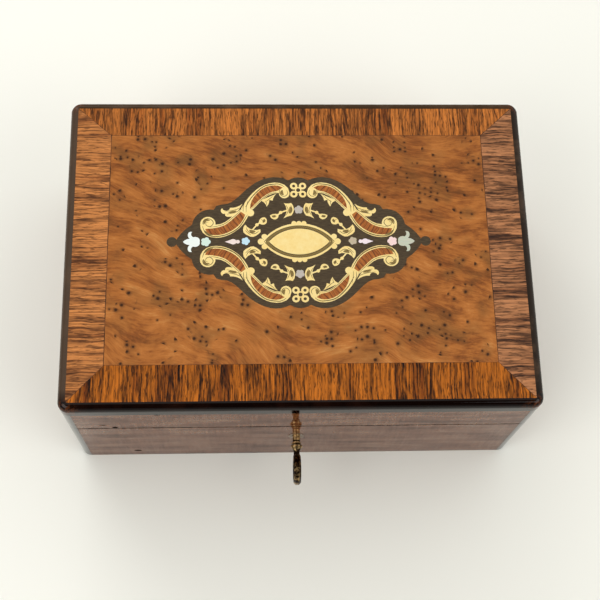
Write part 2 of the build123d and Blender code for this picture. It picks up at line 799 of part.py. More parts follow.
def lock_bolt():
    """Return the bolt: a bar with the key's talon cut in it, and two fingers for the staples."""
    back = bolt_y + BOLT_THICKNESS / 2
    front = bolt_y - BOLT_THICKNESS / 2
    bar_z = key_z + BAR_FROM_KEY
    bar_top = bar_z + BAR_HEIGHT
    finger_mid = lid_z - STAPLE_DROP + STAPLE_FOOT + BOLT_GAP + FINGER_HEIGHT / 2
    finger_z = finger_mid - FINGER_HEIGHT / 2
    bar_right = STUD_RIGHT + STUD_RADIUS + RUNNING_FIT + BAR_MARGIN
    bolt = block(LOCK_X - neck_far, LOCK_X + bar_right, front, back, bar_z, bar_top)
    for tip in (LOCK_X - STAPLE_OFFSET - STAPLE_THICKNESS / 2 - BOLT_GAP, LOCK_X + neck_near + BOLT_THROW):
        neck_end = tip - BOLT_THROW
        neck_start = neck_end - NECK_WIDTH
        bolt += block(neck_start, neck_end, front, back, bar_top - NECK_WIDTH, finger_z + FINGER_HEIGHT)
        bolt += block(neck_start, tip, front, back, finger_z, finger_z + FINGER_HEIGHT)
    # The key's bit is in the talon while it is above the bar's lower edge.
    # The bolt moves steadily with the key, so the talon is as wide as the bit's path seen from the bolt.
    tip_radius = BIT_REACH + MOVING_GAP
    enters = math.acos(-BAR_FROM_KEY / tip_radius)
    drift = BOLT_THROW * (0.5 - enters / (2 * math.pi))
    half_talon = tip_radius * math.sin(enters) + BIT_THICKNESS / 2 + drift + MOVING_GAP
    middle = LOCK_X - BOLT_THROW / 2
    bolt -= block(middle - half_talon, middle + half_talon, front, back, bar_z, key_z + tip_radius + MOVING_GAP)
    for x, z in stud_places():
        reach = STUD_RADIUS + RUNNING_FIT
        slot_face = SlotCenterToCenter(BOLT_THROW, 2 * reach)
        slot_plane = Plane(origin=(x - BOLT_THROW / 2, back, z), x_dir=(1, 0, 0), z_dir=(0, -1, 0))
        bolt -= extrude(slot_plane * slot_face, BOLT_THICKNESS)
    return bolt


def link_room():
    """Return the space in the lid's front wall for the link plate."""
    wide = LINK_WIDTH / 2
    return block(LOCK_X - wide, LOCK_X + wide, cap_front_y, -inner_y, lid_z, lid_z + SELVEDGE)


def link_plate():
    """Return the plate under the lid with its two staples."""
    plate = link_room()
    window = BOLT_THICKNESS / 2 + MOVING_GAP
    foot = lid_z - STAPLE_DROP
    for side in (-1, 1):
        x = LOCK_X + side * STAPLE_OFFSET
        x0 = x - STAPLE_THICKNESS / 2
        x1 = x + STAPLE_THICKNESS / 2
        plate += block(x0, x1, bolt_y - STAPLE_WIDTH / 2, bolt_y + STAPLE_WIDTH / 2, foot, lid_z)
        low = foot + STAPLE_FOOT
        plate -= block(x0, x1, bolt_y - window, bolt_y + window, low, low + FINGER_HEIGHT + 2 * BOLT_GAP)
    for each in link_screws():
        plate -= each
    return plate


def key():
    """Return the key: a pipe shank with its bit, two collars and a flat oval bow with bevelled edges."""
    tail_y = plate_y - MOVING_GAP
    start = tail_y + half_y
    end = -BOW_START - BOW_NECK
    profile = [(0.0, start), (SHANK_RADIUS, start), (SHANK_RADIUS, -COLLAR_START)]
    profile += [(radius, -forward) for forward, radius in COLLARS]
    profile += [(COLLARS[-1][1], end), (0.0, end)]
    turned = revolve(make_face(Polyline(*profile, close=True)), Axis.Y)
    turned = Pos(LOCK_X, -half_y, key_z) * turned
    bore_end = cavity_front_y - MOVING_GAP
    turned -= rod_y(POST_RADIUS + RUNNING_FIT, bore_end, tail_y, LOCK_X, key_z)
    bit_y = tail_y - BIT_LENGTH
    half = BIT_THICKNESS / 2
    bit = block(LOCK_X - half, LOCK_X + half, bit_y, tail_y, key_z - BIT_REACH, key_z - POST_RADIUS - 2 * RUNNING_FIT)
    for share in WARD_PLACES:
        ward_y = bit_y + share * BIT_LENGTH
        near = ward_y - WARD_WIDTH / 2
        far = ward_y + WARD_WIDTH / 2
        foot = key_z - BIT_REACH
        bit -= block(LOCK_X - half, LOCK_X + half, near, far, foot, foot + WARD_DEPTH)
    bow_y = -half_y - BOW_START - BOW_LENGTH / 2
    eye = Ellipse(BOW_LENGTH / 2 - BOW_RIM, BOW_HEIGHT / 2 - BOW_RIM)
    bow = extrude(Ellipse(BOW_LENGTH / 2, BOW_HEIGHT / 2) - eye, BOW_THICKNESS / 2, both=True)
    bow = chamfer(bow.edges().filter_by(GeomType.ELLIPSE), BOW_BEVEL)
    return turned + bit + Plane(origin=(LOCK_X, bow_y, key_z), x_dir=(0, -1, 0), z_dir=(-1, 0, 0)) * bow


def hinge_pins():
    reach = HINGE_LENGTH / 2
    return [rod_x(PIN_RADIUS, m - reach, m + reach, axis_y, split_z) for m in hinge_centres()]


def pieces():
    """Return every piece of the box by its node's name."""
    low = BASE_THICKNESS
    high = rim_z - LINING_DROP
    lid_low = lid_z + LINING_DROP
    lid_high = board_z
    left_hinge, right_hinge = hinge_centres()
    ring = edge_ring()
    bands = crossbanding()
    found = {
        "base_panel": base_panel(),
        "wall_front": wall_front(),
        "wall_back": wall_back(),
        "wall_left": short_wall(-1, 0, rim_z) - base_panel(),
        "wall_right": short_wall(1, 0, rim_z) - base_panel(),
        "veneer_front": veneer_front(),
        "veneer_back": long_veneer(1, 0, rim_z) - back_groove(-1),
        "veneer_left": short_veneer(-1, 0, rim_z),
        "veneer_right": short_veneer(1, 0, rim_z),
        "corner_strips": corner_strips(0, rim_z, -1),
        "lining_front": lining_front(),
        "lining_back": lining_long(1, low, high),
        "lining_left": lining_short(-1, low, high),
        "lining_right": lining_short(1, low, high),
        "floor_pad": floor_pad(),
        "lock_plate": lock_plate(),
        "lock_cap": lock_cap(),
        "lock_pins": lock_pins(),
        "lock_bolt": lock_bolt(),
        "escutcheon": escutcheon(),
        "key": key(),
        "hinge_left_lower_leaf": hinge_leaf(left_hinge, -1),
        "hinge_right_lower_leaf": hinge_leaf(right_hinge, -1),
        "hinge_left_upper_leaf": hinge_leaf(left_hinge, 1),
        "hinge_right_upper_leaf": hinge_leaf(right_hinge, 1),
        "hinge_pins": hinge_pins(),
        "carcase_screws": lock_screws() + [s for m in hinge_centres() for s in leaf_screws(m, -1)],
        "lid_screws": link_screws() + [s for m in hinge_centres() for s in leaf_screws(m, 1)],
        "lid_board": lid_board(),
        "lid_wall_front": lid_wall_front(),
        "lid_wall_back": lid_wall_back(),
        "lid_wall_left": short_wall(-1, lid_z, board_z) - edge_block(),
        "lid_wall_right": short_wall(1, lid_z, board_z) - edge_block(),
        "lid_veneer_front": long_veneer(-1, lid_z, edge_z),
        "lid_veneer_back": long_veneer(1, lid_z, edge_z) - back_groove(1),
        "lid_veneer_left": short_veneer(-1, lid_z, edge_z),
        "lid_veneer_right": short_veneer(1, lid_z, edge_z),
        "lid_corner_strips": corner_strips(lid_z, edge_z, 1),
        "edge_moulding_front": ring & quarter(0, -1, edge_z, HEIGHT),
        "edge_moulding_back": ring & quarter(0, 1, edge_z, HEIGHT),
        "edge_moulding_left": ring & quarter(-1, 0, edge_z, HEIGHT),
        "edge_moulding_right": ring & quarter(1, 0, edge_z, HEIGHT),
        "burl_field": burl_field(),
        "link_plate": link_plate(),
        "lid_lining_pad": lid_pad(),
        "lid_lining_walls": [
            lining_long(-1, lid_low, lid_high),
            lining_long(1, lid_low, lid_high),
            lining_short(-1, lid_low, lid_high),
            lining_short(1, lid_low, lid_high),
        ],
    }
    found.update({"crossbanding_" + name: strip for name, strip in bands.items()})
    found.update(medallion())
    return found


def solids_of(piece):
    """Return the solids of a piece, which may be one shape or a list of them."""
    shapes = piece if isinstance(piece, list) else [piece]
    return [solid for shape in shapes for solid in shape.solids()]


os.makedirs("parts", exist_ok=True)
for name, piece in pieces().items():
    solids = solids_of(piece)
    shape = solids[0] if len(solids) == 1 else Compound(children=solids)
    export_step(shape, "parts/" + name + ".step")
    print(name, len(solids), "solids,", round(sum(s.volume for s in solids)), "mm3")
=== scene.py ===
# %% [markdown]
# # A marquetry box, dressed piece by piece
# The construction model holds every wall, veneer, hinge, lock piece and inlaid plate at its real
# size. This lesson gives each of them its finish, and adds what is too fine for the construction:
# the engraving in the brass, the glue lines between the veneers and the padded linings.
# X runs to the right, Y to the hinges at the back and Z up. Objects are in metres, and patterns
# and drawn lines are given in millimetres.

# %% Load the frame
import math

import bpy
import numpy as np
from mathutils import Matrix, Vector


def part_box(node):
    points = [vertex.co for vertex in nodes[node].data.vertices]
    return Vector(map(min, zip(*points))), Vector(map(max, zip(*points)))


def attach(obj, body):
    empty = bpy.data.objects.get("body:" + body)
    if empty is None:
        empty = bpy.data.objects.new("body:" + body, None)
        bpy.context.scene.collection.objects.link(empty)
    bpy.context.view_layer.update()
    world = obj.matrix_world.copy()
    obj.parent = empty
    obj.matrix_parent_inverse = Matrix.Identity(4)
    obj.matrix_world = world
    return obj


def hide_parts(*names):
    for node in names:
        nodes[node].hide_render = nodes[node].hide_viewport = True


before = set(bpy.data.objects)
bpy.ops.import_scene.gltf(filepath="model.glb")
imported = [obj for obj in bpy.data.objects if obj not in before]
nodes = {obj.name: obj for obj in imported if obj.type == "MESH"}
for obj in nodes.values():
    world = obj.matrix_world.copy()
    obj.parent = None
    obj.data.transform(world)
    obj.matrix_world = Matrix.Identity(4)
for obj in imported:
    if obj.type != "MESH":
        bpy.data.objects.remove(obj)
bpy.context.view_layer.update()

# %% [markdown]
# ## Three small tools
# Colours are written as the six-figure codes that one reads off a screen, and the shaders want
# linear light, so one function turns the first into the second. The next adds one shader node
# with its settings and links, whatever its kind, so that each finish below reads as a recipe.
# The third starts a finish, with what is the same all over set on the shader's own sockets.

# %% Colours, nodes and a first finish
MM = 0.001


def linear(code):
    """Turn a screen colour into linear light: a share s becomes ((s + 0.055) / 1.055) to the power 2.4."""
    shares = [int(code[i:i + 2], 16) / 255 for i in (1, 3, 5)]
    return tuple(s / 12.92 if s <= 0.04045 else ((s + 0.055) / 1.055) ** 2.4 for s in shares) + (1.0,)


def add(tree, kind, inputs=None, stops=None, **settings):
    """Add a shader node: its settings, then a value or another node's output for each input, then ramp stops."""
    made = tree.nodes.new("ShaderNode" + kind)
    for name, value in settings.items():
        setattr(made, name, value)
    for name, value in (inputs or {}).items():
        if isinstance(value, bpy.types.NodeSocket):
            tree.links.new(value, made.inputs[name])
        else:
            made.inputs[name].default_value = value
    if stops:
        ramp = made.color_ramp
        while len(ramp.elements) < len(stops):
            ramp.elements.new(1.0)
        for element, (place, code) in zip(ramp.elements, stops):
            element.position = place
            element.color = linear(code)
    return made


def start_finish(name, fixed):
    """Start a finish: its material, node tree, shader and the place on the piece in millimetres."""
    made = bpy.data.materials.new(name)
    made.use_nodes = True
    tree = made.node_tree
    shader = tree.nodes["Principled BSDF"]
    for socket, value in fixed.items():
        shader.inputs[socket].default_value = value
    place = add(tree, "TexCoord").outputs["Object"]
    mm = add(tree, "VectorMath", {0: place, "Scale": 1 / MM}, operation="SCALE").outputs[0]
    return made, tree, shader, mm


print("mid grey in linear light", round(linear("#808080")[0], 3))

# %% [markdown]
# ## The camera
# The box is seen from a little in front of it and high above, with a long lens. The place, the
# three turns in radians and the focal length come from matching the lid's corners, the joints of
# the veneers, the split between lid and carcase and the foot of the box.

# %% Camera
PITCH, YAW, ROLL = 0.3463, -0.0454, -0.0065
EYE = (-0.0321, -0.2699, 0.7701)
LENS, SENSOR = 71.1, 36.0

camera_data = bpy.data.cameras.new("camera")
camera_data.lens = LENS
camera_data.sensor_width = SENSOR
camera = bpy.data.objects.new("camera", camera_data)
turn = Matrix.Rotation(PITCH, 4, "X") @ Matrix.Rotation(YAW, 4, "Y") @ Matrix.Rotation(ROLL, 4, "Z")
camera.matrix_world = Matrix.Translation(EYE) @ turn
bpy.context.collection.objects.link(camera)
bpy.context.scene.camera = camera
bpy.context.scene.view_settings.view_transform = "Standard"
print("camera at", EYE)

# %% [markdown]
# ## Floor
# A plain pale floor takes the soft shadow. It has almost no gloss, so that it doesn't mirror the
# box, and it lies a fifth of a millimetre low, so that the two never share a plane.

# %% Floor
FLOOR_REACH, FLOOR_Z = 3.0, -0.0002

floor_paint = start_finish("pale_floor", {
    "Base Color": linear("#F8F7EE"), "Roughness": 0.9, "Specular IOR Level": 0.1,
})[0]
corners = [(x * FLOOR_REACH, y * FLOOR_REACH, FLOOR_Z) for x, y in ((-1, -1), (1, -1), (1, 1), (-1, 1))]
floor_mesh = bpy.data.meshes.new("floor")
floor_mesh.from_pydata(corners, [], [(0, 1, 2, 3)])
floor_mesh.materials.append(floor_paint)
floor = bpy.data.objects.new("floor", floor_mesh)
bpy.context.collection.objects.link(floor)
print("floor", FLOOR_REACH * 2, "m wide")

# %% [markdown]
# ## Lamps
# Three broad lamps stand for windows, behind at the left and in front at both sides. Their size
# keeps the shadow soft, and the stronger left ones give it its direction. Each is turned to the box.

# %% Lamps
def window_lamp(name, place, wide, tall, watts):
    """Add an area lamp that faces the box: its axes are the line to the box, and two at right angles to it."""
    data = bpy.data.lights.new(name, "AREA")
    data.shape = "RECTANGLE"
    data.size = wide
    data.size_y = tall
    data.energy = watts
    away = np.array(place) / np.linalg.norm(place)
    right = np.cross((0.0, 0.0, 1.0), away)
    right /= np.linalg.norm(right)
    up = np.cross(away, right)
    turned = Matrix([list(row) for row in np.column_stack([right, up, away])]).to_4x4()
    lamp = bpy.data.objects.new(name, data)
    lamp.matrix_world = Matrix.Translation(place) @ turned
    bpy.context.collection.objects.link(lamp)
    print(name, watts, "W")


window_lamp("window_back_left", (-0.7, 1.75, 1.25), 1.6, 1.0, 13.5)
window_lamp("window_front_left", (-1.3, -1.0, 1.7), 1.5, 1.2, 14.5)
window_lamp("window_front_right", (1.3, -1.0, 1.7), 1.5, 1.2, 12.0)

# %% [markdown]
# ## Sky
# Polished wood shows the room as much as the wood, so the sky is laid out as a studio would be:
# bright overhead and towards the back, dim in front, with one dark board above the front edge.
# The lid mirrors the bright part evenly, and the rounded black edge in front mirrors the board
# and stays black. The camera itself sees a plain white sky.

# %% Sky
BRIGHT_SIDE = (0.45, 0.89, 0.0)
OVERHEAD = (-0.1, -0.25, 0.963)
DARK_BOARD = (0.03, -0.60, 0.80)

sky = bpy.data.worlds.new("sky")
bpy.context.scene.world = sky
sky.use_nodes = True
tree = sky.node_tree
tree.nodes.clear()
look = add(tree, "TexCoord").outputs["Generated"]
back, over, board = [
    add(tree, "VectorMath", {0: look, 1: aim}, operation="DOT_PRODUCT").outputs["Value"]
    for aim in (BRIGHT_SIDE, OVERHEAD, DARK_BOARD)
]
ring = add(tree, "MapRange", {"Value": back, "From Min": -0.3, "From Max": 0.8, "To Min": 0.28, "To Max": 1.15},
           interpolation_type="SMOOTHSTEP").outputs[0]
share = add(tree, "MapRange", {"Value": over, "From Min": 0.35, "From Max": 0.62},
            interpolation_type="SMOOTHSTEP").outputs[0]
level = add(tree, "Mix", {0: share, 2: ring, 3: 0.9}).outputs[0]
board = add(tree, "MapRange", {"Value": board, "From Min": 0.77, "From Max": 0.87, "To Min": 1.0, "To Max": 0.03},
            interpolation_type="SMOOTHSTEP").outputs[0]
level = add(tree, "Math", {0: level, 1: board}, operation="MULTIPLY").outputs[0]
seen = add(tree, "LightPath").outputs["Is Camera Ray"]
level = add(tree, "Math", {0: level, 1: seen}, operation="MAXIMUM").outputs[0]
light = add(tree, "Background", {"Color": linear("#FDFDFB"), "Strength": level})
add(tree, "OutputWorld", {"Surface": light.outputs[0]})
print("sky nodes", len(tree.nodes))

# %% [markdown]
# ## Polished wood
# Every wood on the box lies under the same French polish, many thin coats of shellac rubbed down.
# It is a clear layer over the wood, so each wood is a matt ground with a smooth coat. Shellac's
# index is about 1.5, but an old polish is thin and has sunk into the grain, and 1.33 comes nearer
# to how little the lid mirrors. A slow ripple in the coat bends its reflections a little. Wood's
# figure is longer along the grain than across it, which is a noise read at a stretched place.

# %% Polish and grain
def polished(name, code="#808080", rough=0.45, coat=1.0, index=1.33, coat_rough=0.06, ripple=0.02):
    """Start a finish under clear polish; ripple is the height of its waves in millimetres."""
    made, tree, shader, mm = start_finish(name, {
        "Base Color": linear(code), "Roughness": rough, "Specular IOR Level": 0.0,
        "Coat Weight": coat, "Coat Roughness": coat_rough, "Coat IOR": index,
    })
    if ripple:
        slow = add(tree, "TexNoise", {"Vector": mm, "Scale": 0.09, "Detail": 2.0, "Roughness": 0.5}).outputs[0]
        wavy = add(tree, "Bump", {"Height": slow, "Strength": 1.0, "Distance": ripple * MM}).outputs[0]
        tree.links.new(wavy, shader.inputs["Coat Normal"])
    return made, tree, shader, mm


def grain(tree, place, waves, detail, rough=0.5):
    """Figure drawn out along an axis: a noise with so many waves per millimetre along X, Y and Z."""
    at = add(tree, "VectorMath", {0: place, 1: waves}, operation="MULTIPLY").outputs[0]
    return add(tree, "TexNoise", {"Vector": at, "Scale": 1.0, "Detail": detail, "Roughness": rough}).outputs[0]


print("polish and grain ready")

# %% [markdown]
# ## Pin knots
# Thuja burl is cut from the swollen root of the tree. Where a bud never grew there is a pin knot:
# a dark dot of 1 to 2 mm with a soft brown halo. A pattern of cells gives places some 3.5 mm apart
# and a random draw keeps few of them. Two noises steer the draw, one for spots some 10 mm wide and
# one for whole regions, so that the knots come in twos to sixes, in wood that is greyer there.

# %% Knots
KNOT_CELL = 3.5


def pin_knots(tree, mm):
    """Shares of knot, halo and greyer wood, from the distance to a chosen point over that knot's own size."""
    cell = add(tree, "TexVoronoi", {"Vector": mm, "Scale": 1.0 / KNOT_CELL, "Randomness": 1.0},
               voronoi_dimensions="2D", feature="F1")
    far = add(tree, "Math", {0: cell.outputs["Distance"], 1: KNOT_CELL}, operation="MULTIPLY").outputs[0]
    draw = add(tree, "SeparateColor", {0: cell.outputs["Color"]})
    spot = add(tree, "TexNoise", {"Vector": mm, "Scale": 0.10, "Detail": 0.0}).outputs[0]
    region = add(tree, "TexNoise", {"Vector": mm, "Scale": 0.026, "Detail": 1.0}).outputs[0]
    region = add(tree, "MapRange", {"Value": region, "From Min": 0.40, "From Max": 0.60, "To Min": 0.40}).outputs[0]
    odds = add(tree, "MapRange", {"Value": spot, "From Min": 0.44, "From Max": 0.74, "To Max": 0.60}).outputs[0]
    odds = add(tree, "Math", {0: odds, 1: region, 2: 0.025}, operation="MULTIPLY_ADD").outputs[0]
    chosen = add(tree, "Math", {0: draw.outputs["Red"], 1: odds}, operation="LESS_THAN").outputs[0]
    size = add(tree, "MapRange", {"Value": draw.outputs["Green"], "To Min": 0.58, "To Max": 1.15}).outputs[0]
    wobble = add(tree, "TexNoise", {"Vector": mm, "Scale": 0.9, "Detail": 1.0}).outputs[0]
    far = add(tree, "Math", {0: wobble, 1: 0.5, 2: far}, operation="MULTIPLY_ADD").outputs[0]
    ratio = add(tree, "Math", {0: far, 1: size}, operation="DIVIDE").outputs[0]
    shares = []
    for inside, outside, most in ((0.65, 1.45, 0.90), (0.8, 3.0, 0.70)):
        share = add(tree, "MapRange", {"Value": ratio, "From Min": inside, "From Max": outside, "To Min": most,
                                       "To Max": 0.0}, interpolation_type="SMOOTHSTEP").outputs[0]
        shares.append(add(tree, "Math", {0: share, 1: chosen}, operation="MULTIPLY").outputs[0])
    grey = add(tree, "MapRange", {"Value": spot, "From Min": 0.44, "From Max": 0.72, "To Max": 0.55}).outputs[0]
    grey = add(tree, "Math", {0: grey, 1: region}, operation="MULTIPLY").outputs[0]
    return shares[0], shares[1], grey


print("one place for a knot every", KNOT_CELL, "mm")

# %% [markdown]
# ## Burl
# The fibres of a burl are fine and run in lazy diagonals. The place is pushed about by a slow noise
# and turned by 16 degrees before the figure is read there, and that bends all three sizes of
# figure alike. A very slight slope, a painted sheen, makes the wood a little lighter towards the
# front and the left and darker towards the back and the right.

# %% Burl finish
SWING = (34.0, 44.0, 0.0)
FLOW_TURN = math.radians(16)


def burl_finish(name):
    """Burl: soft clouds, streaks and fine fibres in bent diagonals, and pin knots with halos in small groups."""
    made, tree, shader, mm = polished(name, coat=0.55)
    slow = add(tree, "TexNoise", {"Vector": mm, "Scale": 0.015, "Detail": 1.0, "Roughness": 0.5}).outputs["Color"]
    swing = add(tree, "VectorMath", {0: slow, 1: (0.5, 0.5, 0.5)}, operation="SUBTRACT").outputs[0]
    swing = add(tree, "VectorMath", {0: swing, 1: SWING}, operation="MULTIPLY").outputs[0]
    flow = add(tree, "VectorMath", {0: mm, 1: swing}, operation="ADD").outputs[0]
    flow = add(tree, "VectorRotate", {"Vector": flow, "Angle": FLOW_TURN}, rotation_type="Z_AXIS").outputs[0]

    # Clouds 22 by 9 mm, streaks 14 by 2 mm and fibres 5 by 0.7 mm
    cloud = grain(tree, flow, (0.045, 0.11, 0.1), 5.0, 0.62)
    streak = grain(tree, flow, (0.07, 0.55, 0.5), 2.0)
    fibre = grain(tree, flow, (0.20, 1.5, 1.5), 3.0, 0.68)
    # This slope is a painted sheen: lighter towards the front left.
    tone = add(tree, "VectorMath", {0: mm, 1: (-0.00010, -0.00022, 0.0)}, operation="DOT_PRODUCT").outputs["Value"]
    for layer, weight in ((streak, 0.18), (cloud, 0.58), (fibre, 0.24)):
        tone = add(tree, "Math", {0: layer, 1: weight, 2: tone}, operation="MULTIPLY_ADD").outputs[0]
    wood = add(tree, "ValToRGB", {0: tone}, stops=[
        (0.36, "#693B19"), (0.44, "#8A4F23"), (0.50, "#A3622C"), (0.57, "#B26E34"), (0.66, "#C28447"),
    ]).outputs[0]
    core, halo, grey = pin_knots(tree, mm)
    for share, code in ((grey, "#6E4B26"), (halo, "#643C1D"), (core, "#2C190E")):
        wood = add(tree, "Mix", {0: share, 6: wood, 7: linear(code)}, data_type="RGBA").outputs[2]
    tree.links.new(wood, shader.inputs["Base Color"])
    return made


burl = burl_finish("thuja_burl_veneer")
print("burl nodes", len(burl.node_tree.nodes))

# %% [markdown]
# ## Rosewood crossbanding
# The border is cut across the sheet, so its grain runs from the burl to the edge, along Y at the
# front and back and along X at the sides. The wood is orange brown with nearly black lines. A dark
# line is drawn where a noise, drawn out along the grain, passes through its middle value: such
# places make thin unbroken lines at uneven distances, as growth rings do. There are three sets of
# them, about 1, 2 and 4 mm apart, broken into dashes some 9 mm long. Short pores lie between them,
# and each border is made of lengths 45 mm long that differ a little in tone.

# %% Rosewood finish
LEAF = 45.0
LINE_SETS = ((1.00, 0.120, 0.50), (0.46, 0.110, 0.85))
STRONG_SET = (0.24, 0.075)


def rosewood_finish(name, across, light, mid, dark, strong=0.9):
    """Striped rosewood; across is the axis that the stripes follow one another on, 0 for X and 1 for Y. A set of
    lines is its waves per millimetre, the noise's distance from its middle where a line ends, and its depth."""
    made, tree, shader, mm = polished(name, coat=0.55)
    slow = add(tree, "TexNoise", {"Vector": mm, "Scale": 0.05, "Detail": 1.0}).outputs["Color"]
    sway = add(tree, "VectorMath", {0: slow, "Scale": 2.5}, operation="SCALE").outputs[0]
    bent = add(tree, "VectorMath", {0: mm, 1: sway}, operation="ADD").outputs[0]

    def stripes(often, along, detail, rough):
        """Figure with so many waves per millimetre across the grain, and along it."""
        waves = [often] * 3
        waves[1 - across] = along
        return grain(tree, bent, waves, detail, rough)

    bands = stripes(0.16, 0.008, 5.0, 0.65)
    split = add(tree, "SeparateXYZ", {0: mm})
    piece = add(tree, "Math", {0: split.outputs[across], 1: LEAF}, operation="DIVIDE").outputs[0]
    piece = add(tree, "Math", {0: piece}, operation="FLOOR").outputs[0]
    piece = add(tree, "TexWhiteNoise", {"W": piece}, noise_dimensions="1D").outputs["Value"]
    tone = add(tree, "MapRange", {"Value": bands, "From Min": 0.30, "From Max": 0.70}).outputs[0]
    tone = add(tree, "Math", {0: piece, 1: 0.18, 2: tone}, operation="MULTIPLY_ADD").outputs[0]
    wood = add(tree, "ValToRGB", {0: tone}, stops=[(0.0, mid), (0.14, mid), (0.58, light), (1.0, light)]).outputs[0]

    # The lines are weaker in the light bands, and the dashes break them all
    group = add(tree, "MapRange", {"Value": bands, "From Min": 0.44, "From Max": 0.62, "To Min": 1.0,
                                   "To Max": 0.40}).outputs[0]
    dash = stripes(0.9, 0.11, 2.0, 0.6)
    dash = add(tree, "MapRange", {"Value": dash, "From Min": 0.34, "From Max": 0.58, "To Min": 0.30}).outputs[0]
    broken = add(tree, "Math", {0: group, 1: dash}, operation="MULTIPLY").outputs[0]
    for often, thick, depth in LINE_SETS + ((*STRONG_SET, strong),):
        ring = stripes(often, 0.014, 1.5, 0.5)
        ring = add(tree, "Math", {0: ring, 1: 0.5}, operation="SUBTRACT").outputs[0]
        ring = add(tree, "Math", {0: ring}, operation="ABSOLUTE").outputs[0]
        line = add(tree, "MapRange", {"Value": ring, "From Min": 0.003, "From Max": thick, "To Min": depth,
                                      "To Max": 0.0}, interpolation_type="SMOOTHSTEP").outputs[0]
        line = add(tree, "Math", {0: line, 1: broken}, operation="MULTIPLY").outputs[0]
        wood = add(tree, "Mix", {0: line, 6: wood, 7: linear(dark)}, data_type="RGBA").outputs[2]
    pore = stripes(1.5, 0.16, 2.0, 0.6)
    pore = add(tree, "MapRange", {"Value": pore, "From Min": 0.37, "From Max": 0.46, "To Min": 0.75,
                                  "To Max": 0.0}).outputs[0]
    wood = add(tree, "Mix", {0: pore, 6: wood, 7: linear(dark)}, data_type="RGBA").outputs[2]
    tree.links.new(wood, shader.inputs["Base Color"])
    return made


# The four borders are one wood, and their different tints are painted reflection: the left and right bands paler with
# the haze of the bright room, the right one greyest, and the front band darker and deeper, with blacker lines, where it
# mirrors the dark above the front.
rosewood_back = rosewood_finish("rosewood_crossbanding_back", 0, "#CB7833", "#9C531E", "#2C170A")
rosewood_front = rosewood_finish("rosewood_crossbanding_front", 0, "#C26C1C", "#7C3D0E", "#120602", strong=1.0)
rosewood_left = rosewood_finish("rosewood_crossbanding_left", 1, "#CF8548", "#A56232", "#3F2213", strong=0.8)
rosewood_right = rosewood_finish("rosewood_crossbanding_right", 1, "#BE8054", "#8E5937", "#2C1B14")
print("rosewood nodes", len(rosewood_back.node_tree.nodes))

# %% [markdown]
# ## Ebonised wood
# The edge and the corner strips are pearwood stained black and polished. Behind the front the
# stain is drawn dark brown, partly stain faded by light and partly painted reflection of the bright
# room: lightest on the left edge, darker at the back and darkest on the right. Where cloths have
# rubbed the lid's corners for a century it thins to a red brown. So the colour turns from black to
# brown with Y just behind the front edge, and towards red brown, in patches, near the lid's top
# where both X and Y are near their ends. X times Y tells that: it is 13860 square millimetres at
# the very corner. The upright strips have kept more polish than the edge, and shine more.

# %% Ebonised finishes
FADE_AND_REFLECTION_Y = (-94.0, -86.0)
CORNER_XY = (12350.0, 13100.0)
RUB_Z = (103.0, 108.0)


def ebonised(name, faded_and_reflected, coat, index=1.33):
    """Black-stained pearwood: black in front, faded and with painted reflection behind, rubbed at the lid's corners."""
    made, tree, shader, mm = polished(name, rough=0.35, coat=coat, index=index, coat_rough=0.07)
    patch = add(tree, "TexNoise", {"Vector": mm, "Scale": 0.05, "Detail": 4.0, "Roughness": 0.65}).outputs[0]
    thin = add(tree, "MapRange", {"Value": patch, "From Min": 0.50, "From Max": 0.75, "To Max": 0.7}).outputs[0]
    front = add(tree, "Mix", {0: thin, 6: linear("#0D0402"), 7: linear("#241009")}, data_type="RGBA").outputs[2]
    # Behind the front: stain faded by light, and painted reflection of the bright room.
    rear_faded_and_reflected = add(tree, "Mix", {0: thin, 6: linear(faded_and_reflected), 7: linear("#5C4634")}, data_type="RGBA").outputs[2]
    x, y, z = add(tree, "SeparateXYZ", {0: mm}).outputs
    across = add(tree, "Math", {0: x, 1: y}, operation="MULTIPLY").outputs[0]
    across = add(tree, "Math", {0: across}, operation="ABSOLUTE").outputs[0]
    behind, corner, high = [
        add(tree, "MapRange", {"Value": value, "From Min": start, "From Max": end}).outputs[0]
        for value, (start, end) in ((y, FADE_AND_REFLECTION_Y), (across, CORNER_XY), (z, RUB_Z))
    ]
    tint = add(tree, "Mix", {0: behind, 6: front, 7: rear_faded_and_reflected}, data_type="RGBA").outputs[2]
    rub = add(tree, "TexNoise", {"Vector": mm, "Scale": 0.45, "Detail": 3.0, "Roughness": 0.6}).outputs[0]
    rub = add(tree, "MapRange", {"Value": rub, "From Min": 0.44, "From Max": 0.58, "To Max": 0.9}).outputs[0]
    rub = add(tree, "Math", {0: rub, 1: corner}, operation="MULTIPLY").outputs[0]
    rub = add(tree, "Math", {0: rub, 1: high}, operation="MULTIPLY").outputs[0]
    tint = add(tree, "Mix", {0: rub, 6: tint, 7: linear("#5A3018")}, data_type="RGBA").outputs[2]
    tree.links.new(tint, shader.inputs["Base Color"])
    return made


edge_left = ebonised("ebonised_pearwood_left", "#4A3A2D", 0.6)
edge_right = ebonised("ebonised_pearwood_right", "#24190F", 0.6)
edge_back = ebonised("ebonised_pearwood_back", "#3B2917", 0.3)
edge_front = ebonised("ebonised_pearwood_front", "#1C100A", 0.9)
ebony_strip = ebonised("ebonised_pearwood_strips", "#3E3A2E", 1.0, index=1.6)
print("ebonised nodes", len(ebony_strip.node_tree.nodes))

# %% [markdown]
# ## Dirt, painted shade and nicks on the sides
# A dark band along the split between lid and carcase, 72 mm above the table, is dirt and painted
# shade of the gap, and dirt gathers in the joints beside the corner strips, which begin 6.5 mm from
# the ends. On the front a few old nicks show the dark wood under the polish. A noise, of about 0.5
# on average, makes the width of all of them uneven. Each nick is an oval: the distance to its
# middle, measured in its own width and height.

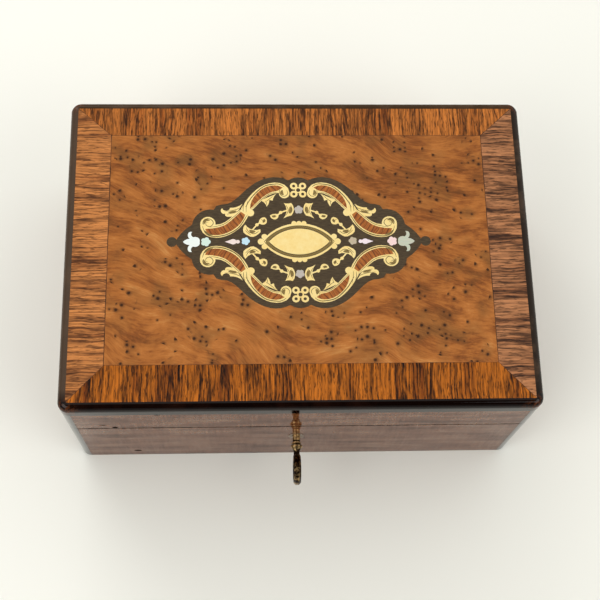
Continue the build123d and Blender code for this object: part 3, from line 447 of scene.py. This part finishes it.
# %% Dirt and painted shade
SPLIT_Z = 72.0
STRIPS_FROM = (133.5, 92.5)
FRONT_Y = -99.0
NICKS = ((-102.6, 11.5, 5.0, 3.8), (-110.8, 74.5, 3.6, 4.0), (-117.5, 80.0, 5.0, 1.8), (-84.0, 102.6, 4.0, 2.0))


def side_dirt_and_gap_shade(tree, mm, along):
    """Share of dirt and painted gap shade on a wall along X (0) or Y (1); each nick is its x, z, width and height in
    millimetres.
    """
    places = add(tree, "SeparateXYZ", {0: mm}).outputs
    grime = add(tree, "TexNoise", {"Vector": mm, "Scale": 0.25, "Detail": 3.0, "Roughness": 0.6}).outputs[0]
    # The band along the split is dirt and painted shade of the gap between lid and carcase.
    off = add(tree, "Math", {0: places[2], 1: SPLIT_Z}, operation="SUBTRACT").outputs[0]
    off = add(tree, "Math", {0: off}, operation="ABSOLUTE").outputs[0]
    reach = add(tree, "MapRange", {"Value": grime, "From Min": 0.35, "From Max": 0.7, "To Min": 0.6,
                                   "To Max": 1.25}).outputs[0]
    dirt_and_painted_light = add(tree, "Math", {0: off, 1: reach}, operation="LESS_THAN").outputs[0]
    dirt_and_painted_light = add(tree, "Math", {0: dirt_and_painted_light, 1: 0.85}, operation="MULTIPLY").outputs[0]
    far = add(tree, "Math", {0: places[along]}, operation="ABSOLUTE").outputs[0]
    joint = add(tree, "Math", {0: grime, 1: -1.0, 2: STRIPS_FROM[along] + 0.4}, operation="MULTIPLY_ADD").outputs[0]
    joint = add(tree, "Math", {0: far, 1: joint}, operation="GREATER_THAN").outputs[0]
    dirt_and_painted_light = add(tree, "Math", {0: joint, 1: 0.6, 2: dirt_and_painted_light}, operation="MULTIPLY_ADD", use_clamp=True).outputs[0]
    for x, z, wide, tall in (NICKS if along == 0 else ()):
        flat = add(tree, "VectorMath", {0: mm, 1: (1.0 / wide, 0.1, 1.0 / tall)}, operation="MULTIPLY").outputs[0]
        near = add(tree, "VectorMath", {0: flat, 1: (x / wide, 0.1 * FRONT_Y, z / tall)}, operation="DISTANCE")
        near = add(tree, "Math", {0: grime, 1: 0.4, 2: near.outputs["Value"]}, operation="MULTIPLY_ADD").outputs[0]
        mark = add(tree, "MapRange", {"Value": near, "From Min": 0.60, "From Max": 0.72, "To Min": 1.0,
                                      "To Max": 0.0}).outputs[0]
        dirt_and_painted_light = add(tree, "Math", {0: mark, 1: dirt_and_painted_light}, operation="MAXIMUM").outputs[0]
    return dirt_and_painted_light


print(len(NICKS), "nicks in the front")

# %% [markdown]
# ## Side veneer
# The sides wear a plainer reddish veneer with soft streaks along the wall, small upright flecks
# and long dark hairs of grain. The polish has sunk more into the dark parts of the figure and is
# gone over the dirt and the painted shade of the split, so the weight of the coat follows both, and
# the gloss is uneven as on an old box.

# %% Side veneer finish
def side_finish(name, along):
    """A reddish veneer: streaks and hairs drawn out along the wall, upright flecks, dirt, painted shade along the split
    and a few nicks.
    """
    made, tree, shader, mm = polished(name)
    cloud = grain(tree, mm, (0.022, 0.022, 0.12), 4.0, 0.60)
    fleck = grain(tree, mm, (0.6, 0.6, 0.05), 4.0, 0.65)
    tone = add(tree, "Math", {0: fleck, 1: 0.34}, operation="MULTIPLY").outputs[0]
    tone = add(tree, "Math", {0: cloud, 1: 0.66, 2: tone}, operation="MULTIPLY_ADD").outputs[0]
    wood = add(tree, "ValToRGB", {0: tone}, stops=[
        (0.36, "#4A2A17"), (0.46, "#683B20"), (0.54, "#764829"), (0.66, "#815838"),
    ]).outputs[0]
    hair = grain(tree, mm, (0.02, 0.02, 0.55), 2.0, 0.6)
    hair = add(tree, "MapRange", {"Value": hair, "From Min": 0.33, "From Max": 0.41, "To Min": 0.7,
                                  "To Max": 0.0}).outputs[0]
    dirt_and_painted_light = side_dirt_and_gap_shade(tree, mm, along)
    # The darkest tone is dirt, nicks and the painted shade of the split.
    for share, code in ((hair, "#3A2415"), (dirt_and_painted_light, "#1C110A")):
        wood = add(tree, "Mix", {0: share, 6: wood, 7: linear(code)}, data_type="RGBA").outputs[2]
    tree.links.new(wood, shader.inputs["Base Color"])
    bare = add(tree, "MapRange", {"Value": dirt_and_painted_light, "To Min": 1.0, "To Max": 0.1}).outputs[0]
    thick = add(tree, "MapRange", {"Value": tone, "From Min": 0.36, "From Max": 0.64, "To Min": 0.66,
                                   "To Max": 1.0}).outputs[0]
    thick = add(tree, "Math", {0: thick, 1: bare}, operation="MULTIPLY").outputs[0]
    tree.links.new(thick, shader.inputs["Coat Weight"])
    return made


side_x = side_finish("side_veneer_long", along=0)
side_y = side_finish("side_veneer_short", along=1)
print("side veneer nodes", len(side_x.node_tree.nodes), len(side_y.node_tree.nodes))

# %% [markdown]
# ## Solid wood
# Where the veneer stops, on the rims, the underside and the screw beds, the carcase wood shows: a
# straight-grained mahogany with fine pores, wiped with oil and never polished to a gloss.

# %% Carcase wood
timber, tree, shader, mm = polished("oiled_mahogany", rough=0.55, coat=0.15, coat_rough=0.3, ripple=0.0)
figure = grain(tree, mm, (0.03, 0.5, 0.5), 5.0, 0.6)
wood = add(tree, "ValToRGB", {0: figure}, stops=[(0.34, "#4A2714"), (0.5, "#6E3F22"), (0.66, "#8A5631")]).outputs[0]
tree.links.new(wood, shader.inputs["Base Color"])
print("solid wood nodes", len(tree.nodes))

# %% [markdown]
# ## The medallion's ground
# The ground is a black-stained veneer, close-grained and faded by light to a grey brown.

# %% Medallion ground
ground, tree, shader, mm = polished("stained_ground_veneer")
figure = grain(tree, mm, (0.25, 1.8, 1.0), 4.0, 0.6)
wood = add(tree, "ValToRGB", {0: figure}, stops=[(0.3, "#342718"), (0.5, "#453724"), (0.72, "#574830")]).outputs[0]
tree.links.new(wood, shader.inputs["Base Color"])
print("ground nodes", len(tree.nodes))

# %% [markdown]
# ## The rosewood in the scrolls
# In the scrolls lie pieces of rosewood sawn so that their grain crosses the limb, with a dark line
# every 2 to 3 mm. The limbs of a scroll run down and outwards in each quarter, so the distances
# from the two middle lines, as positive numbers, give one slanting direction that serves all four.

# %% Rosewood inlay
MEDALLION_Y = 4.2
LIMB_TURN = math.radians(34)
RING_APART = 2.7

inlay, tree, shader, mm = polished("cross_cut_rosewood_inlay")
folded = add(tree, "VectorMath", {0: mm, 1: (0.0, MEDALLION_Y, 0.0)}, operation="SUBTRACT").outputs[0]
folded = add(tree, "VectorMath", {0: folded}, operation="ABSOLUTE").outputs[0]
along = add(tree, "VectorRotate", {"Vector": folded, "Angle": LIMB_TURN}, rotation_type="Z_AXIS").outputs[0]
figure = grain(tree, along, (0.8, 0.08, 0.0), 4.0, 0.65)
wood = add(tree, "ValToRGB", {0: figure}, stops=[(0.34, "#7C4119"), (0.50, "#A05B26"), (0.64, "#B87232")]).outputs[0]
run = add(tree, "SeparateXYZ", {0: along}).outputs[0]
stray = add(tree, "TexNoise", {"Vector": along, "Scale": 0.12, "Detail": 1.0}).outputs[0]
stray = add(tree, "Math", {0: stray, 1: 1.6}, operation="MULTIPLY").outputs[0]
ring = add(tree, "Math", {0: run, 1: 1.0 / RING_APART, 2: stray}, operation="MULTIPLY_ADD").outputs[0]
ring = add(tree, "Math", {0: ring, 1: 0.5}, operation="PINGPONG").outputs[0]
ring = add(tree, "MapRange", {"Value": ring, "From Min": 0.03, "From Max": 0.11, "To Min": 0.85,
                              "To Max": 0.0}).outputs[0]
wood = add(tree, "Mix", {0: ring, 6: wood, 7: linear("#3A1C0E")}, data_type="RGBA").outputs[2]
tree.links.new(wood, shader.inputs["Base Color"])
print("inlay nodes", len(tree.nodes))

# %% [markdown]
# ## Dirt, wear and painted light on the key
# The key has been handled for a century: bright on its swellings and its shank, nearly black in its
# two grooves, its neck and its bow. The grooves hold patina, and the rest is partly wear and dirt
# and partly painted light: painted highlights on the collars and the shank, and a painted dark
# reflection on the neck and the bow. A ramp along the key gives that, from just past its end at
# -131 mm to the front of the box. Black in the ramp takes from the dark tone's share, and white
# adds to it.

# %% Key dirt and painted light
KEY_END = -131.0


def key_dirt_and_painted_light(tree, mm):
    """What dirt, patina and painted light add to the dark tone's share: 1.3 times a ramp along the key, less 0.3."""
    run = add(tree, "SeparateXYZ", {0: mm}).outputs[1]
    run = add(tree, "MapRange", {"Value": run, "From Min": KEY_END, "From Max": FRONT_Y}).outputs[0]
    # Partly wear, dirt and patina, partly painted highlights on the collars and shank and painted dark reflection on
    # the neck and bow.
    dirt_and_painted_light = add(tree, "ValToRGB", {0: run}, stops=[
        (0.0, "#BBBBBB"), (0.53, "#BBBBBB"), (0.57, "#DADADA"), (0.68, "#DADADA"), (0.72, "#585858"),
        (0.79, "#585858"), (0.80, "#FFFFFF"), (0.812, "#FFFFFF"), (0.825, "#000000"), (0.86, "#000000"),
        (0.87, "#FFFFFF"), (0.888, "#FFFFFF"), (0.90, "#000000"), (1.0, "#000000"),
    ]).outputs[0]
    return add(tree, "Math", {0: dirt_and_painted_light, 1: 1.3, 2: -0.3}, operation="MULTIPLY_ADD").outputs[0]


print("ramp along the key", FRONT_Y - KEY_END, "mm long")

# %% [markdown]
# ## Brass and steel
# The inlaid brass is thin rolled sheet, rubbed flush with the veneer, so it is pale gold and rather
# matt. The hinges and the lock are filed brass and darker, and the plate round the keyhole is worn
# and brown. One recipe serves all, with a colour that drifts between two tones in clouds.

# %% Metal finishes
def metal(name, light, dark, rough, cloud=0.25, low=0.35, high=0.7, dirt_and_painted_light=None):
    """A metal whose colour and roughness drift between two tones, in clouds about 1/cloud mm across."""
    made, tree, shader, mm = start_finish(name, {"Metallic": 1.0})
    drift = add(tree, "TexNoise", {"Vector": mm, "Scale": cloud, "Detail": 4.0, "Roughness": 0.6}).outputs[0]
    share = add(tree, "MapRange", {"Value": drift, "From Min": low, "From Max": high}).outputs[0]
    if dirt_and_painted_light:
        share = add(tree, "Math", {0: share, 1: dirt_and_painted_light(tree, mm)}, operation="ADD", use_clamp=True).outputs[0]
    tint = add(tree, "Mix", {0: share, 6: linear(light), 7: linear(dark)}, data_type="RGBA").outputs[2]
    tree.links.new(tint, shader.inputs["Base Color"])
    dull = add(tree, "MapRange", {"Value": drift, "From Min": 0.3, "From Max": 0.7, "To Min": rough - 0.06,
                                  "To Max": rough + 0.1}).outputs[0]
    tree.links.new(dull, shader.inputs["Roughness"])
    return made


brass = metal("rubbed_brass_inlay", "#FCE4A0", "#F3D68C", rough=0.45)
fittings = metal("filed_brass_fittings", "#CFA95C", "#93723A", rough=0.34)
steel = metal("bright_steel", "#B9B8B4", "#8D8B86", rough=0.3)
aged = metal("worn_brass_plate", "#87735F", "#6E5B49", rough=0.3, cloud=0.5)
key_metal = metal("aged_brass_key", "#D9B47C", "#20140C", rough=0.34, cloud=0.42, low=0.36, high=0.58, dirt_and_painted_light=key_dirt_and_painted_light)
print("metals ready, key nodes", len(key_metal.node_tree.nodes))

# %% [markdown]
# ## Mother-of-pearl
# Each pearl piece is cut from another shell, so their tints differ: white at the left end, then
# pale green, rose and blue towards the middle, greys at the centre, and sand, rose and grey green
# to the right. A ramp along X gives each its own tint, and fine growth bands cross it.

# %% Pearl
PEARL_REACH = 80.0

pearl, tree, shader, mm = polished("mother_of_pearl", rough=0.28, coat=0.8, ripple=0.0)
run = add(tree, "SeparateXYZ", {0: mm}).outputs[0]
run = add(tree, "MapRange", {"Value": run, "From Min": -PEARL_REACH, "From Max": PEARL_REACH}).outputs[0]
tints = add(tree, "ValToRGB", {0: run}, stops=[
    (0.0, "#E9F0EA"), (0.131, "#D0E4D8"), (0.19, "#ECDAD2"), (0.281, "#BFDDE8"), (0.40, "#B9B0A6"),
    (0.60, "#BCAD93"), (0.722, "#EBDCE0"), (0.81, "#F0D2CD"), (0.871, "#BFC2AE"),
])
tints.color_ramp.interpolation = "CONSTANT"
at = add(tree, "VectorMath", {0: mm, 1: (0.35, 1.12, 0.7)}, operation="MULTIPLY").outputs[0]
bands = add(tree, "TexNoise", {"Vector": at, "Scale": 1.0, "Detail": 3.0, "Roughness": 0.6}).outputs["Color"]
shift = add(tree, "Mix", {0: 0.30, 6: tints.outputs[0], 7: bands}, data_type="RGBA",
            blend_type="SOFT_LIGHT").outputs[2]
tree.links.new(shift, shader.inputs["Base Color"])
print("pearl tints", len(tints.color_ramp.elements))

# %% [markdown]
# ## Velvet
# The lining is a short-pile cotton velvet in a faded wine red: matt, with a sheen at the edges and
# the pile brushed into lighter and darker patches. The pile is finer than the picture can show, so
# its grain is drawn half a millimetre coarse.

# %% Velvet finish
velvet, tree, shader, mm = start_finish("wine_red_velvet", {
    "Roughness": 0.95, "Specular IOR Level": 0.1,
    "Sheen Weight": 0.6, "Sheen Roughness": 0.4, "Sheen Tint": linear("#C77C84"),
})
nap = add(tree, "TexNoise", {"Vector": mm, "Scale": 0.06, "Detail": 4.0, "Roughness": 0.6}).outputs[0]
pile = add(tree, "TexNoise", {"Vector": mm, "Scale": 2.2, "Detail": 2.0, "Roughness": 0.6}).outputs[0]
tone = add(tree, "Math", {0: nap, 1: 0.45, 2: pile}, operation="MULTIPLY_ADD").outputs[0]
cloth = add(tree, "ValToRGB", {0: tone}, stops=[(0.52, "#430F18"), (0.72, "#571622"), (0.92, "#6B202D")]).outputs[0]
tree.links.new(cloth, shader.inputs["Base Color"])
tuft = add(tree, "Bump", {"Height": pile, "Strength": 0.4, "Distance": 0.2 * MM}).outputs[0]
tree.links.new(tuft, shader.inputs["Normal"])
print("velvet nodes", len(tree.nodes))

# %% [markdown]
# ## Dress the construction
# Each node of the construction gets the finish of what it is made of. Hinge leaves and linings are
# known by their names, and what is in no list is carcase wood.

# %% Assign finishes
FINISHES = (
    (burl, "burl_field"), (ground, "medallion_ground"), (inlay, "rosewood_inlays"),
    (rosewood_front, "crossbanding_front"), (rosewood_back, "crossbanding_back"),
    (rosewood_left, "crossbanding_left"), (rosewood_right, "crossbanding_right"),
    (brass, "brass_scrolls brass_cartouche brass_rings brass_flowers"),
    (pearl, "pearl_fleurs pearl_blossoms pearl_drops"),
    (side_x, "veneer_front veneer_back lid_veneer_front lid_veneer_back"),
    (side_y, "veneer_left veneer_right lid_veneer_left lid_veneer_right"),
    (edge_front, "edge_moulding_front"), (edge_back, "edge_moulding_back"),
    (edge_left, "edge_moulding_left"), (edge_right, "edge_moulding_right"),
    (ebony_strip, "corner_strips lid_corner_strips"),
    (fittings, "lock_plate lock_cap link_plate"), (aged, "escutcheon"), (key_metal, "key"),
    (steel, "hinge_pins carcase_screws lid_screws lock_pins lock_bolt"),
)
finish_of = {name: finish for finish, names in FINISHES for name in names.split()}
for name, node in nodes.items():
    finish = finish_of.get(name, timber)
    if name not in finish_of and name.startswith("hinge"):
        finish = fittings
    if name not in finish_of and ("lining" in name or name.endswith("_pad")):
        finish = velvet
    node.data.materials.clear()
    node.data.materials.append(finish)
print("finished", len(nodes), "nodes,", len(finish_of), "of them from the list")

# %% [markdown]
# ## Lines in the top
# The graver's cuts in the brass were filled with black mastic and rubbed flush. At this size they
# are thin dark lines with tapered ends, so each is a closed bar about 0.05 mm tall that follows a
# smooth curve, is sunk into the brass and stands one hair above it. The curve goes through a few
# points, one quarter of the medallion is enough, and the other three are its mirror images.

# %% Paths and bars
TOP_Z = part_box("brass_scrolls")[1].z / MM
SUNK = 0.03
HATCH_UP, LINE_UP, GLUE_UP = 0.012, 0.024, 0.010


def smooth_path(points, steps=7):
    """A curve through the points: each stretch is a cubic whose end slopes are half the chord of the neighbours."""
    p = np.array(points, float)
    ends = np.vstack([2 * p[0] - p[1], p, 2 * p[-1] - p[-2]])
    t = np.linspace(0.0, 1.0, steps, endpoint=False)[None, :, None]
    shares = (-t + 2 * t ** 2 - t ** 3, 2 - 5 * t ** 2 + 3 * t ** 3, t + 4 * t ** 2 - 3 * t ** 3, -t ** 2 + t ** 3)
    stretches = sum(0.5 * share * ends[k:len(p) - 1 + k, None] for k, share in enumerate(shares))
    return np.vstack([stretches.reshape(-1, 2), p[-1:]])


def bar(path, width, up, taper):
    """A closed bar along a plan path: half its width, times sin(pi s) to the power taper, lies each side at share s."""
    step = np.gradient(path, axis=0)
    aside = np.column_stack([-step[:, 1], step[:, 0]]) / np.linalg.norm(step, axis=1)[:, None]
    length = np.concatenate([[0.0], np.cumsum(np.linalg.norm(np.diff(path, axis=0), axis=1))])
    share = length / length[-1]
    half = 0.5 * width * np.maximum(np.sin(np.pi * share), 0.02) ** taper
    left, right = path + aside * half[:, None], path - aside * half[:, None]
    count = len(path)
    rings = np.empty((count, 4, 3))
    rings[:, 0, :2] = rings[:, 3, :2] = left
    rings[:, 1, :2] = rings[:, 2, :2] = right
    rings[:, :2, 2] = TOP_Z - SUNK
    rings[:, 2:, 2] = TOP_Z + up
    i, k = np.meshgrid(np.arange(count - 1) * 4, np.arange(4), indexing="ij")
    after = (k + 1) % 4
    sides = np.stack([i + k, i + 4 + k, i + 4 + after, i + after], axis=-1).reshape(-1, 4)
    last = (count - 1) * 4
    return rings.reshape(-1, 3), np.vstack([sides, [[0, 1, 2, 3], [last + 3, last + 2, last + 1, last]]])


print("the brass ends at", round(TOP_Z, 3), "mm")

# %% [markdown]
# ## Laying a piece
# A piece is one mesh joined from many closed shells. It carries its finish and rides on the body
# that carries it.

# %% Pieces
def lay_piece(name, shells, finish, body):
    """Join closed shells, given in millimetres, into one piece in metres that rides on a body."""
    starts = np.cumsum([0] + [len(part) for part, _ in shells[:-1]])
    points = np.vstack([part for part, _ in shells]) * MM
    faces = np.vstack([part + start for (_, part), start in zip(shells, starts)])
    mesh = bpy.data.meshes.new(name)
    mesh.from_pydata(points.tolist(), [], faces.tolist())
    mesh.validate()
    mesh.materials.append(finish)
    made = bpy.data.objects.new(name, mesh)
    bpy.context.collection.objects.link(made)
    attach(made, body)
    print(name, len(shells), "shells", len(faces), "faces")
    return made


# %% [markdown]
# ## Engraving
# Each line is a list of points in the right back quarter, from the medallion's centre, with the
# width of the graver's cut in front. Wider and paler strokes stand for hatching, which shades the
# hollow side of a form with cuts too fine to see one by one.

# %% Mastic and hatching
mastic, tree, shader, mm = polished("black_mastic", code="#4A3B1E", rough=0.5, ripple=0.0)
grit = add(tree, "TexNoise", {"Vector": mm, "Scale": 1.3, "Detail": 2.0}).outputs[0]
fill = add(tree, "Mix", {0: grit, 6: linear("#3A2C14"), 7: linear("#6B5830")}, data_type="RGBA").outputs[2]
tree.links.new(fill, shader.inputs["Base Color"])
hatch, tree, shader, mm = polished("hatched_brass", code="#A48F55", rough=0.5, ripple=0.0)
slant = add(tree, "VectorMath", {0: mm, 1: (6.0, 6.0, 0.0)}, operation="DOT_PRODUCT").outputs["Value"]
cut = add(tree, "Math", {0: slant}, operation="SINE").outputs[0]
cut = add(tree, "MapRange", {"Value": cut, "From Min": -1.0, "From Max": 1.0}).outputs[0]
fill = add(tree, "Mix", {0: cut, 6: linear("#5C4A24"), 7: linear("#977F48")}, data_type="RGBA").outputs[2]
tree.links.new(fill, shader.inputs["Base Color"])
print("mastic and hatching ready")

# %% [markdown]
# ## The strokes
# The long strokes follow the scrolls' limbs, the short ones the leaves, the curls and the cups of
# the flowers. All are given once, for one quarter, and laid four times.

# %% Engraved lines and shading
CUTS = (
    (0.60, ((58.0, 10.2), (56.6, 6.3), (54.2, 4.2), (49.5, 3.4), (42.5, 5.1), (36.1, 9.5), (31.0, 17.6))),
    (0.34, ((34.9, 20.4), (39.7, 15.9), (44.8, 11.7), (50.4, 9.9), (54.0, 9.5))),
    (0.40, ((58.2, 11.3), (57.2, 14.2), (54.8, 15.1), (52.4, 14.1), (51.6, 12.0), (53.2, 10.0), (55.5, 10.5),
            (56.0, 12.2), (54.6, 12.9))),
    (0.34, ((29.0, 20.9), (22.5, 27.6), (17.3, 31.4), (12.2, 32.7))),
    (0.60, ((8.4, 36.0), (10.6, 37.5), (13.8, 38.0), (21.0, 36.3), (27.8, 29.9), (32.2, 22.6))),
    (0.36, ((11.1, 34.4), (11.5, 32.4), (10.2, 30.2), (8.0, 29.9), (6.5, 31.6), (6.9, 33.8))),
    (0.34, ((34.5, 22.6), (37.5, 21.2), (41.0, 20.2), (44.8, 20.0))),
    (0.34, ((36.0, 20.4), (38.4, 19.1), (41.0, 18.5), (43.5, 17.9))),
    (0.36, ((32.5, 26.3), (33.5, 22.9), (33.6, 19.6))),
    (0.30, ((30.6, 27.0), (31.6, 22.9), (31.8, 19.2))),
    (0.30, ((15.0, 30.3), (18.5, 27.2), (20.4, 25.9))),
    (0.30, ((19.8, 26.9), (19.5, 25.4), (19.3, 23.9))),
    (0.40, ((31.7, 9.4), (31.2, 7.6), (29.9, 6.2), (28.2, 5.4), (26.4, 5.3), (24.2, 6.8))),
    (0.30, ((28.9, 4.2), (30.6, 5.6), (32.4, 7.4))),
    (0.34, ((4.7, 23.9), (3.9, 20.7), (5.2, 17.8))),
    (0.34, ((7.5, 23.9), (6.3, 20.4), (7.7, 17.0))),
    (0.34, ((22.9, 14.5), (21.1, 13.3), (21.5, 12.1))),
    (0.34, ((13.4, 16.6), (14.9, 15.9), (16.2, 16.7))),
)
SHADES = (
    (1.9, ((9.6, 33.9), (10.1, 32.1), (9.0, 30.6))),
    (1.6, ((57.4, 11.2), (56.2, 14.0), (53.6, 14.0))),
    (1.9, ((5.1, 22.9), (4.9, 20.6), (5.8, 18.4))),
    (1.9, ((29.9, 7.5), (28.4, 6.6), (26.2, 6.6))),
    (1.5, ((14.0, 17.2), (15.3, 16.4), (16.3, 16.9))),
    (1.5, ((21.0, 14.8), (20.9, 13.6), (21.9, 12.6))),
    (1.5, ((37.6, 20.2), (39.6, 19.4), (42.6, 19.0))),
    (1.0, ((56.9, 7.4), (54.6, 5.2), (51.6, 4.2))),
)


def engraved(strokes, up, taper):
    """Bars for all strokes in the medallion's four quarters: each path times plus or minus 1 in x and y."""
    signs = [(sx, sy) for sx in (1, -1) for sy in (1, -1)]
    return [bar(smooth_path(np.array(points) * sign + (0.0, MEDALLION_Y)), width, up, taper)
            for width, points in strokes for sign in signs]


lay_piece("engraved_shading", engraved(SHADES, HATCH_UP, 0.6), hatch, "lid")
lay_piece("engraved_lines", engraved(CUTS, LINE_UP, 0.35), mastic, "lid")

# %% [markdown]
# ## The cartouche's frame
# The almond plate carries an engraved frame: a hatched hollow between two dark lines. An almond is
# two arcs of a circle through its two points, so a frame line is such an arc with a smaller half
# length a and half height b, whose radius is (a squared + b squared) / 2b.

# %% Cartouche frame
HOLLOW = (19.8, 9.5, 1.8)
FRAME_LINES = ((21.0, 10.2, 0.45), (18.5, 8.7, 0.6))


def almond_arc(a, b, side, count=41):
    """One arc of an almond from its left point to its right one, bulging to the back (side 1) or the front (-1)."""
    radius = (a * a + b * b) / (2 * b)
    reach = math.asin(a / radius)
    angle = np.linspace(-reach, reach, count)
    arc = np.column_stack([radius * np.sin(angle), side * (radius * np.cos(angle) - radius + b)])
    return arc + (0.0, MEDALLION_Y)


def almond_bars(frames, up, taper):
    """Both arcs of each almond, given as its half length, its half height and its line's width."""
    return [bar(almond_arc(a, b, side), width, up, taper) for a, b, width in frames for side in (1, -1)]


lay_piece("cartouche_hollow", almond_bars([HOLLOW], HATCH_UP, 0.12), hatch, "lid")
lay_piece("cartouche_lines", almond_bars(FRAME_LINES, LINE_UP, 0.1), mastic, "lid")

# %% [markdown]
# ## Glue lines
# Between the sheets of veneer a line of old glue has darkened. It shows along the burl, most at
# its ends where the grains meet at right angles, and as a faint line in each mitre. Its path
# strays a little, as two sines of different length, because no joint is perfect.

# %% Glue lines
BURL_JOINTS = (0.22, 0.42, 0.26, 0.50)
MITRE_JOINT = 0.26


def wavering(start, end, width, count=60):
    """A straight bar whose path strays by two sines, 0.05 mm at most, so that its edges aren't ruled."""
    share = np.linspace(0.0, 1.0, count)[:, None]
    run = np.array(end) - np.array(start)
    aside = np.array([-run[1], run[0]]) / np.linalg.norm(run)
    stray = 0.03 * np.sin(23.0 * share) + 0.02 * np.sin(61.0 * share + 1.0)
    return bar(np.array(start) + share * run + stray * aside, width, GLUE_UP, 0.05)


def corners_between(low, high):
    """The four corners of the box from low to high, seen from above and anticlockwise, in millimetres."""
    (x0, y0), (x1, y1) = [(corner.x / MM, corner.y / MM) for corner in (low, high)]
    return [(x0, y0), (x1, y0), (x1, y1), (x0, y1)]


field = corners_between(*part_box("burl_field"))
band = corners_between(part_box("crossbanding_left")[0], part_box("crossbanding_right")[1])
glue_lines = [wavering(field[k], field[(k + 1) % 4], BURL_JOINTS[k]) for k in range(4)]
glue_lines += [wavering(field[k], band[k], MITRE_JOINT) for k in range(4)]
glue, tree, shader, mm = polished("darkened_glue", code="#3A2315", rough=0.5, ripple=0.0)
worn = add(tree, "TexNoise", {"Vector": mm, "Scale": 0.12, "Detail": 3.0}).outputs[0]
worn = add(tree, "MapRange", {"Value": worn, "From Min": 0.4, "From Max": 0.65}).outputs[0]
fill = add(tree, "Mix", {0: worn, 6: linear("#2A180D"), 7: linear("#74431F")}, data_type="RGBA").outputs[2]
tree.links.new(fill, shader.inputs["Base Color"])
lay_piece("glue_lines", glue_lines, glue, "lid")

# %% [markdown]
# ## Padded linings
# In the bottom of the carcase and in the lid lies a card covered with wadding and velvet. Such a
# pad is flat where it rests and crowned on the side that shows, and the cloth is pulled tight over
# its edges. Its shell is a grid of two parameters bent into a pillow, a little smaller than its
# place, with the grid's points closer together towards the edges, where the shape turns.

# %% Pad shells
PULLED_IN = 0.6
ROOM_TO_SWELL = 0.9
CROWN = 0.5


def quads(ids):
    """The four-sided faces between neighbours on a grid of point numbers."""
    return np.stack([ids[:-1, :-1], ids[1:, :-1], ids[1:, 1:], ids[:-1, 1:]], axis=-1).reshape(-1, 4)


def pad_shell(low, high, up, count=(64, 44)):
    """A pillow in millimetres on a grid (u, v), each the sine of an even share from -90 to 90 degrees: x and y go
    along with u and v, pulled in between the corners, and the height over the flat side is
    (1 - |u|^10)^0.5 (1 - |v|^10)^0.5 of the depth, with a crown of (1 - u^2)(1 - v^2)."""
    u, v = np.meshgrid(*[np.sin(0.5 * np.pi * np.linspace(-1, 1, n)) for n in count], indexing="ij")
    middle, half = 0.5 * (low + high), 0.5 * (high - low)
    x = middle[0] + u * (half[0] - ROOM_TO_SWELL - PULLED_IN * (1 - v ** 4))
    y = middle[1] + v * (half[1] - ROOM_TO_SWELL - PULLED_IN * (1 - u ** 4))
    depth = 2 * (half[2] - CROWN)
    rise = np.sqrt(np.clip(1 - np.abs(u) ** 10, 0, 1) * np.clip(1 - np.abs(v) ** 10, 0, 1))
    swell = depth * rise + CROWN * (1 - u ** 2) * (1 - v ** 2)
    flat = np.full(u.shape, low[2] if up else high[2])
    shown = flat + (swell if up else -swell)
    index = np.arange(u.size).reshape(u.shape)
    inner = np.zeros(u.shape, bool)
    inner[1:-1, 1:-1] = True
    other = index.copy()
    other[inner] = u.size + np.arange(inner.sum())
    points = np.vstack([np.column_stack([x.ravel(), y.ravel(), shown.ravel()]),
                        np.column_stack([x[inner], y[inner], flat[inner]])])
    faces = np.vstack([quads(index), quads(other)[:, ::-1]])
    return points, faces if up else faces[:, ::-1]


print("pads start", ROOM_TO_SWELL, "mm inside their place")

# %% [markdown]
# ## Swelling the pads
# A short cloth simulation with air pressure inside swells the shell until the velvet is taut.
# The shell began 0.9 mm inside its place, and no point may move further than that, so the pad
# stays where the construction has it.

# %% Cloth
def swell_cloth(made, cap=ROOM_TO_SWELL, frames=20):
    """Blow the shell up as cloth under pressure, then keep each point within cap millimetres of where it began."""
    count = len(made.data.vertices)
    before = np.empty(count * 3)
    made.data.vertices.foreach_get("co", before)
    cloth = made.modifiers.new("swell", "CLOTH")
    cloth.settings.use_pressure = True
    cloth.settings.uniform_pressure_force = 4.0
    cloth.settings.quality = 4
    cloth.settings.effector_weights.gravity = 0.0
    scene = bpy.context.scene
    for moment in range(1, frames + 1):
        scene.frame_set(moment)
    blown = made.evaluated_get(bpy.context.evaluated_depsgraph_get())
    after = np.empty(count * 3)
    blown.data.vertices.foreach_get("co", after)
    made.modifiers.remove(cloth)
    scene.frame_set(1)
    move = (after - before).reshape(-1, 3)
    far = np.linalg.norm(move, axis=1)[:, None]
    move *= np.minimum(1.0, cap * MM / np.maximum(far, 1e-9))
    made.data.vertices.foreach_set("co", (before.reshape(-1, 3) + move).ravel())
    made.data.update()
    print(made.name, "swelled by", round(float(far.max() / MM), 2), "mm before the cap")


print("cloth is", "simulated", "in this run")

# %% [markdown]
# ## Lay the pads
# Each pad takes its place from the construction's solid, which it stands for from now on.

# %% Pads
for node, body, up in (("floor_pad", "root", True), ("lid_lining_pad", "lid", False)):
    low, high = (np.array(corner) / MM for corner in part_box(node))
    pad = lay_piece(node + "_velvet", [pad_shell(low, high, up)], velvet, body)
    pad.data.polygons.foreach_set("use_smooth", [True] * len(pad.data.polygons))
    swell_cloth(pad)
    round_off = pad.modifiers.new("round", "SUBSURF")
    round_off.levels = round_off.render_levels = 1
    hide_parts(node)
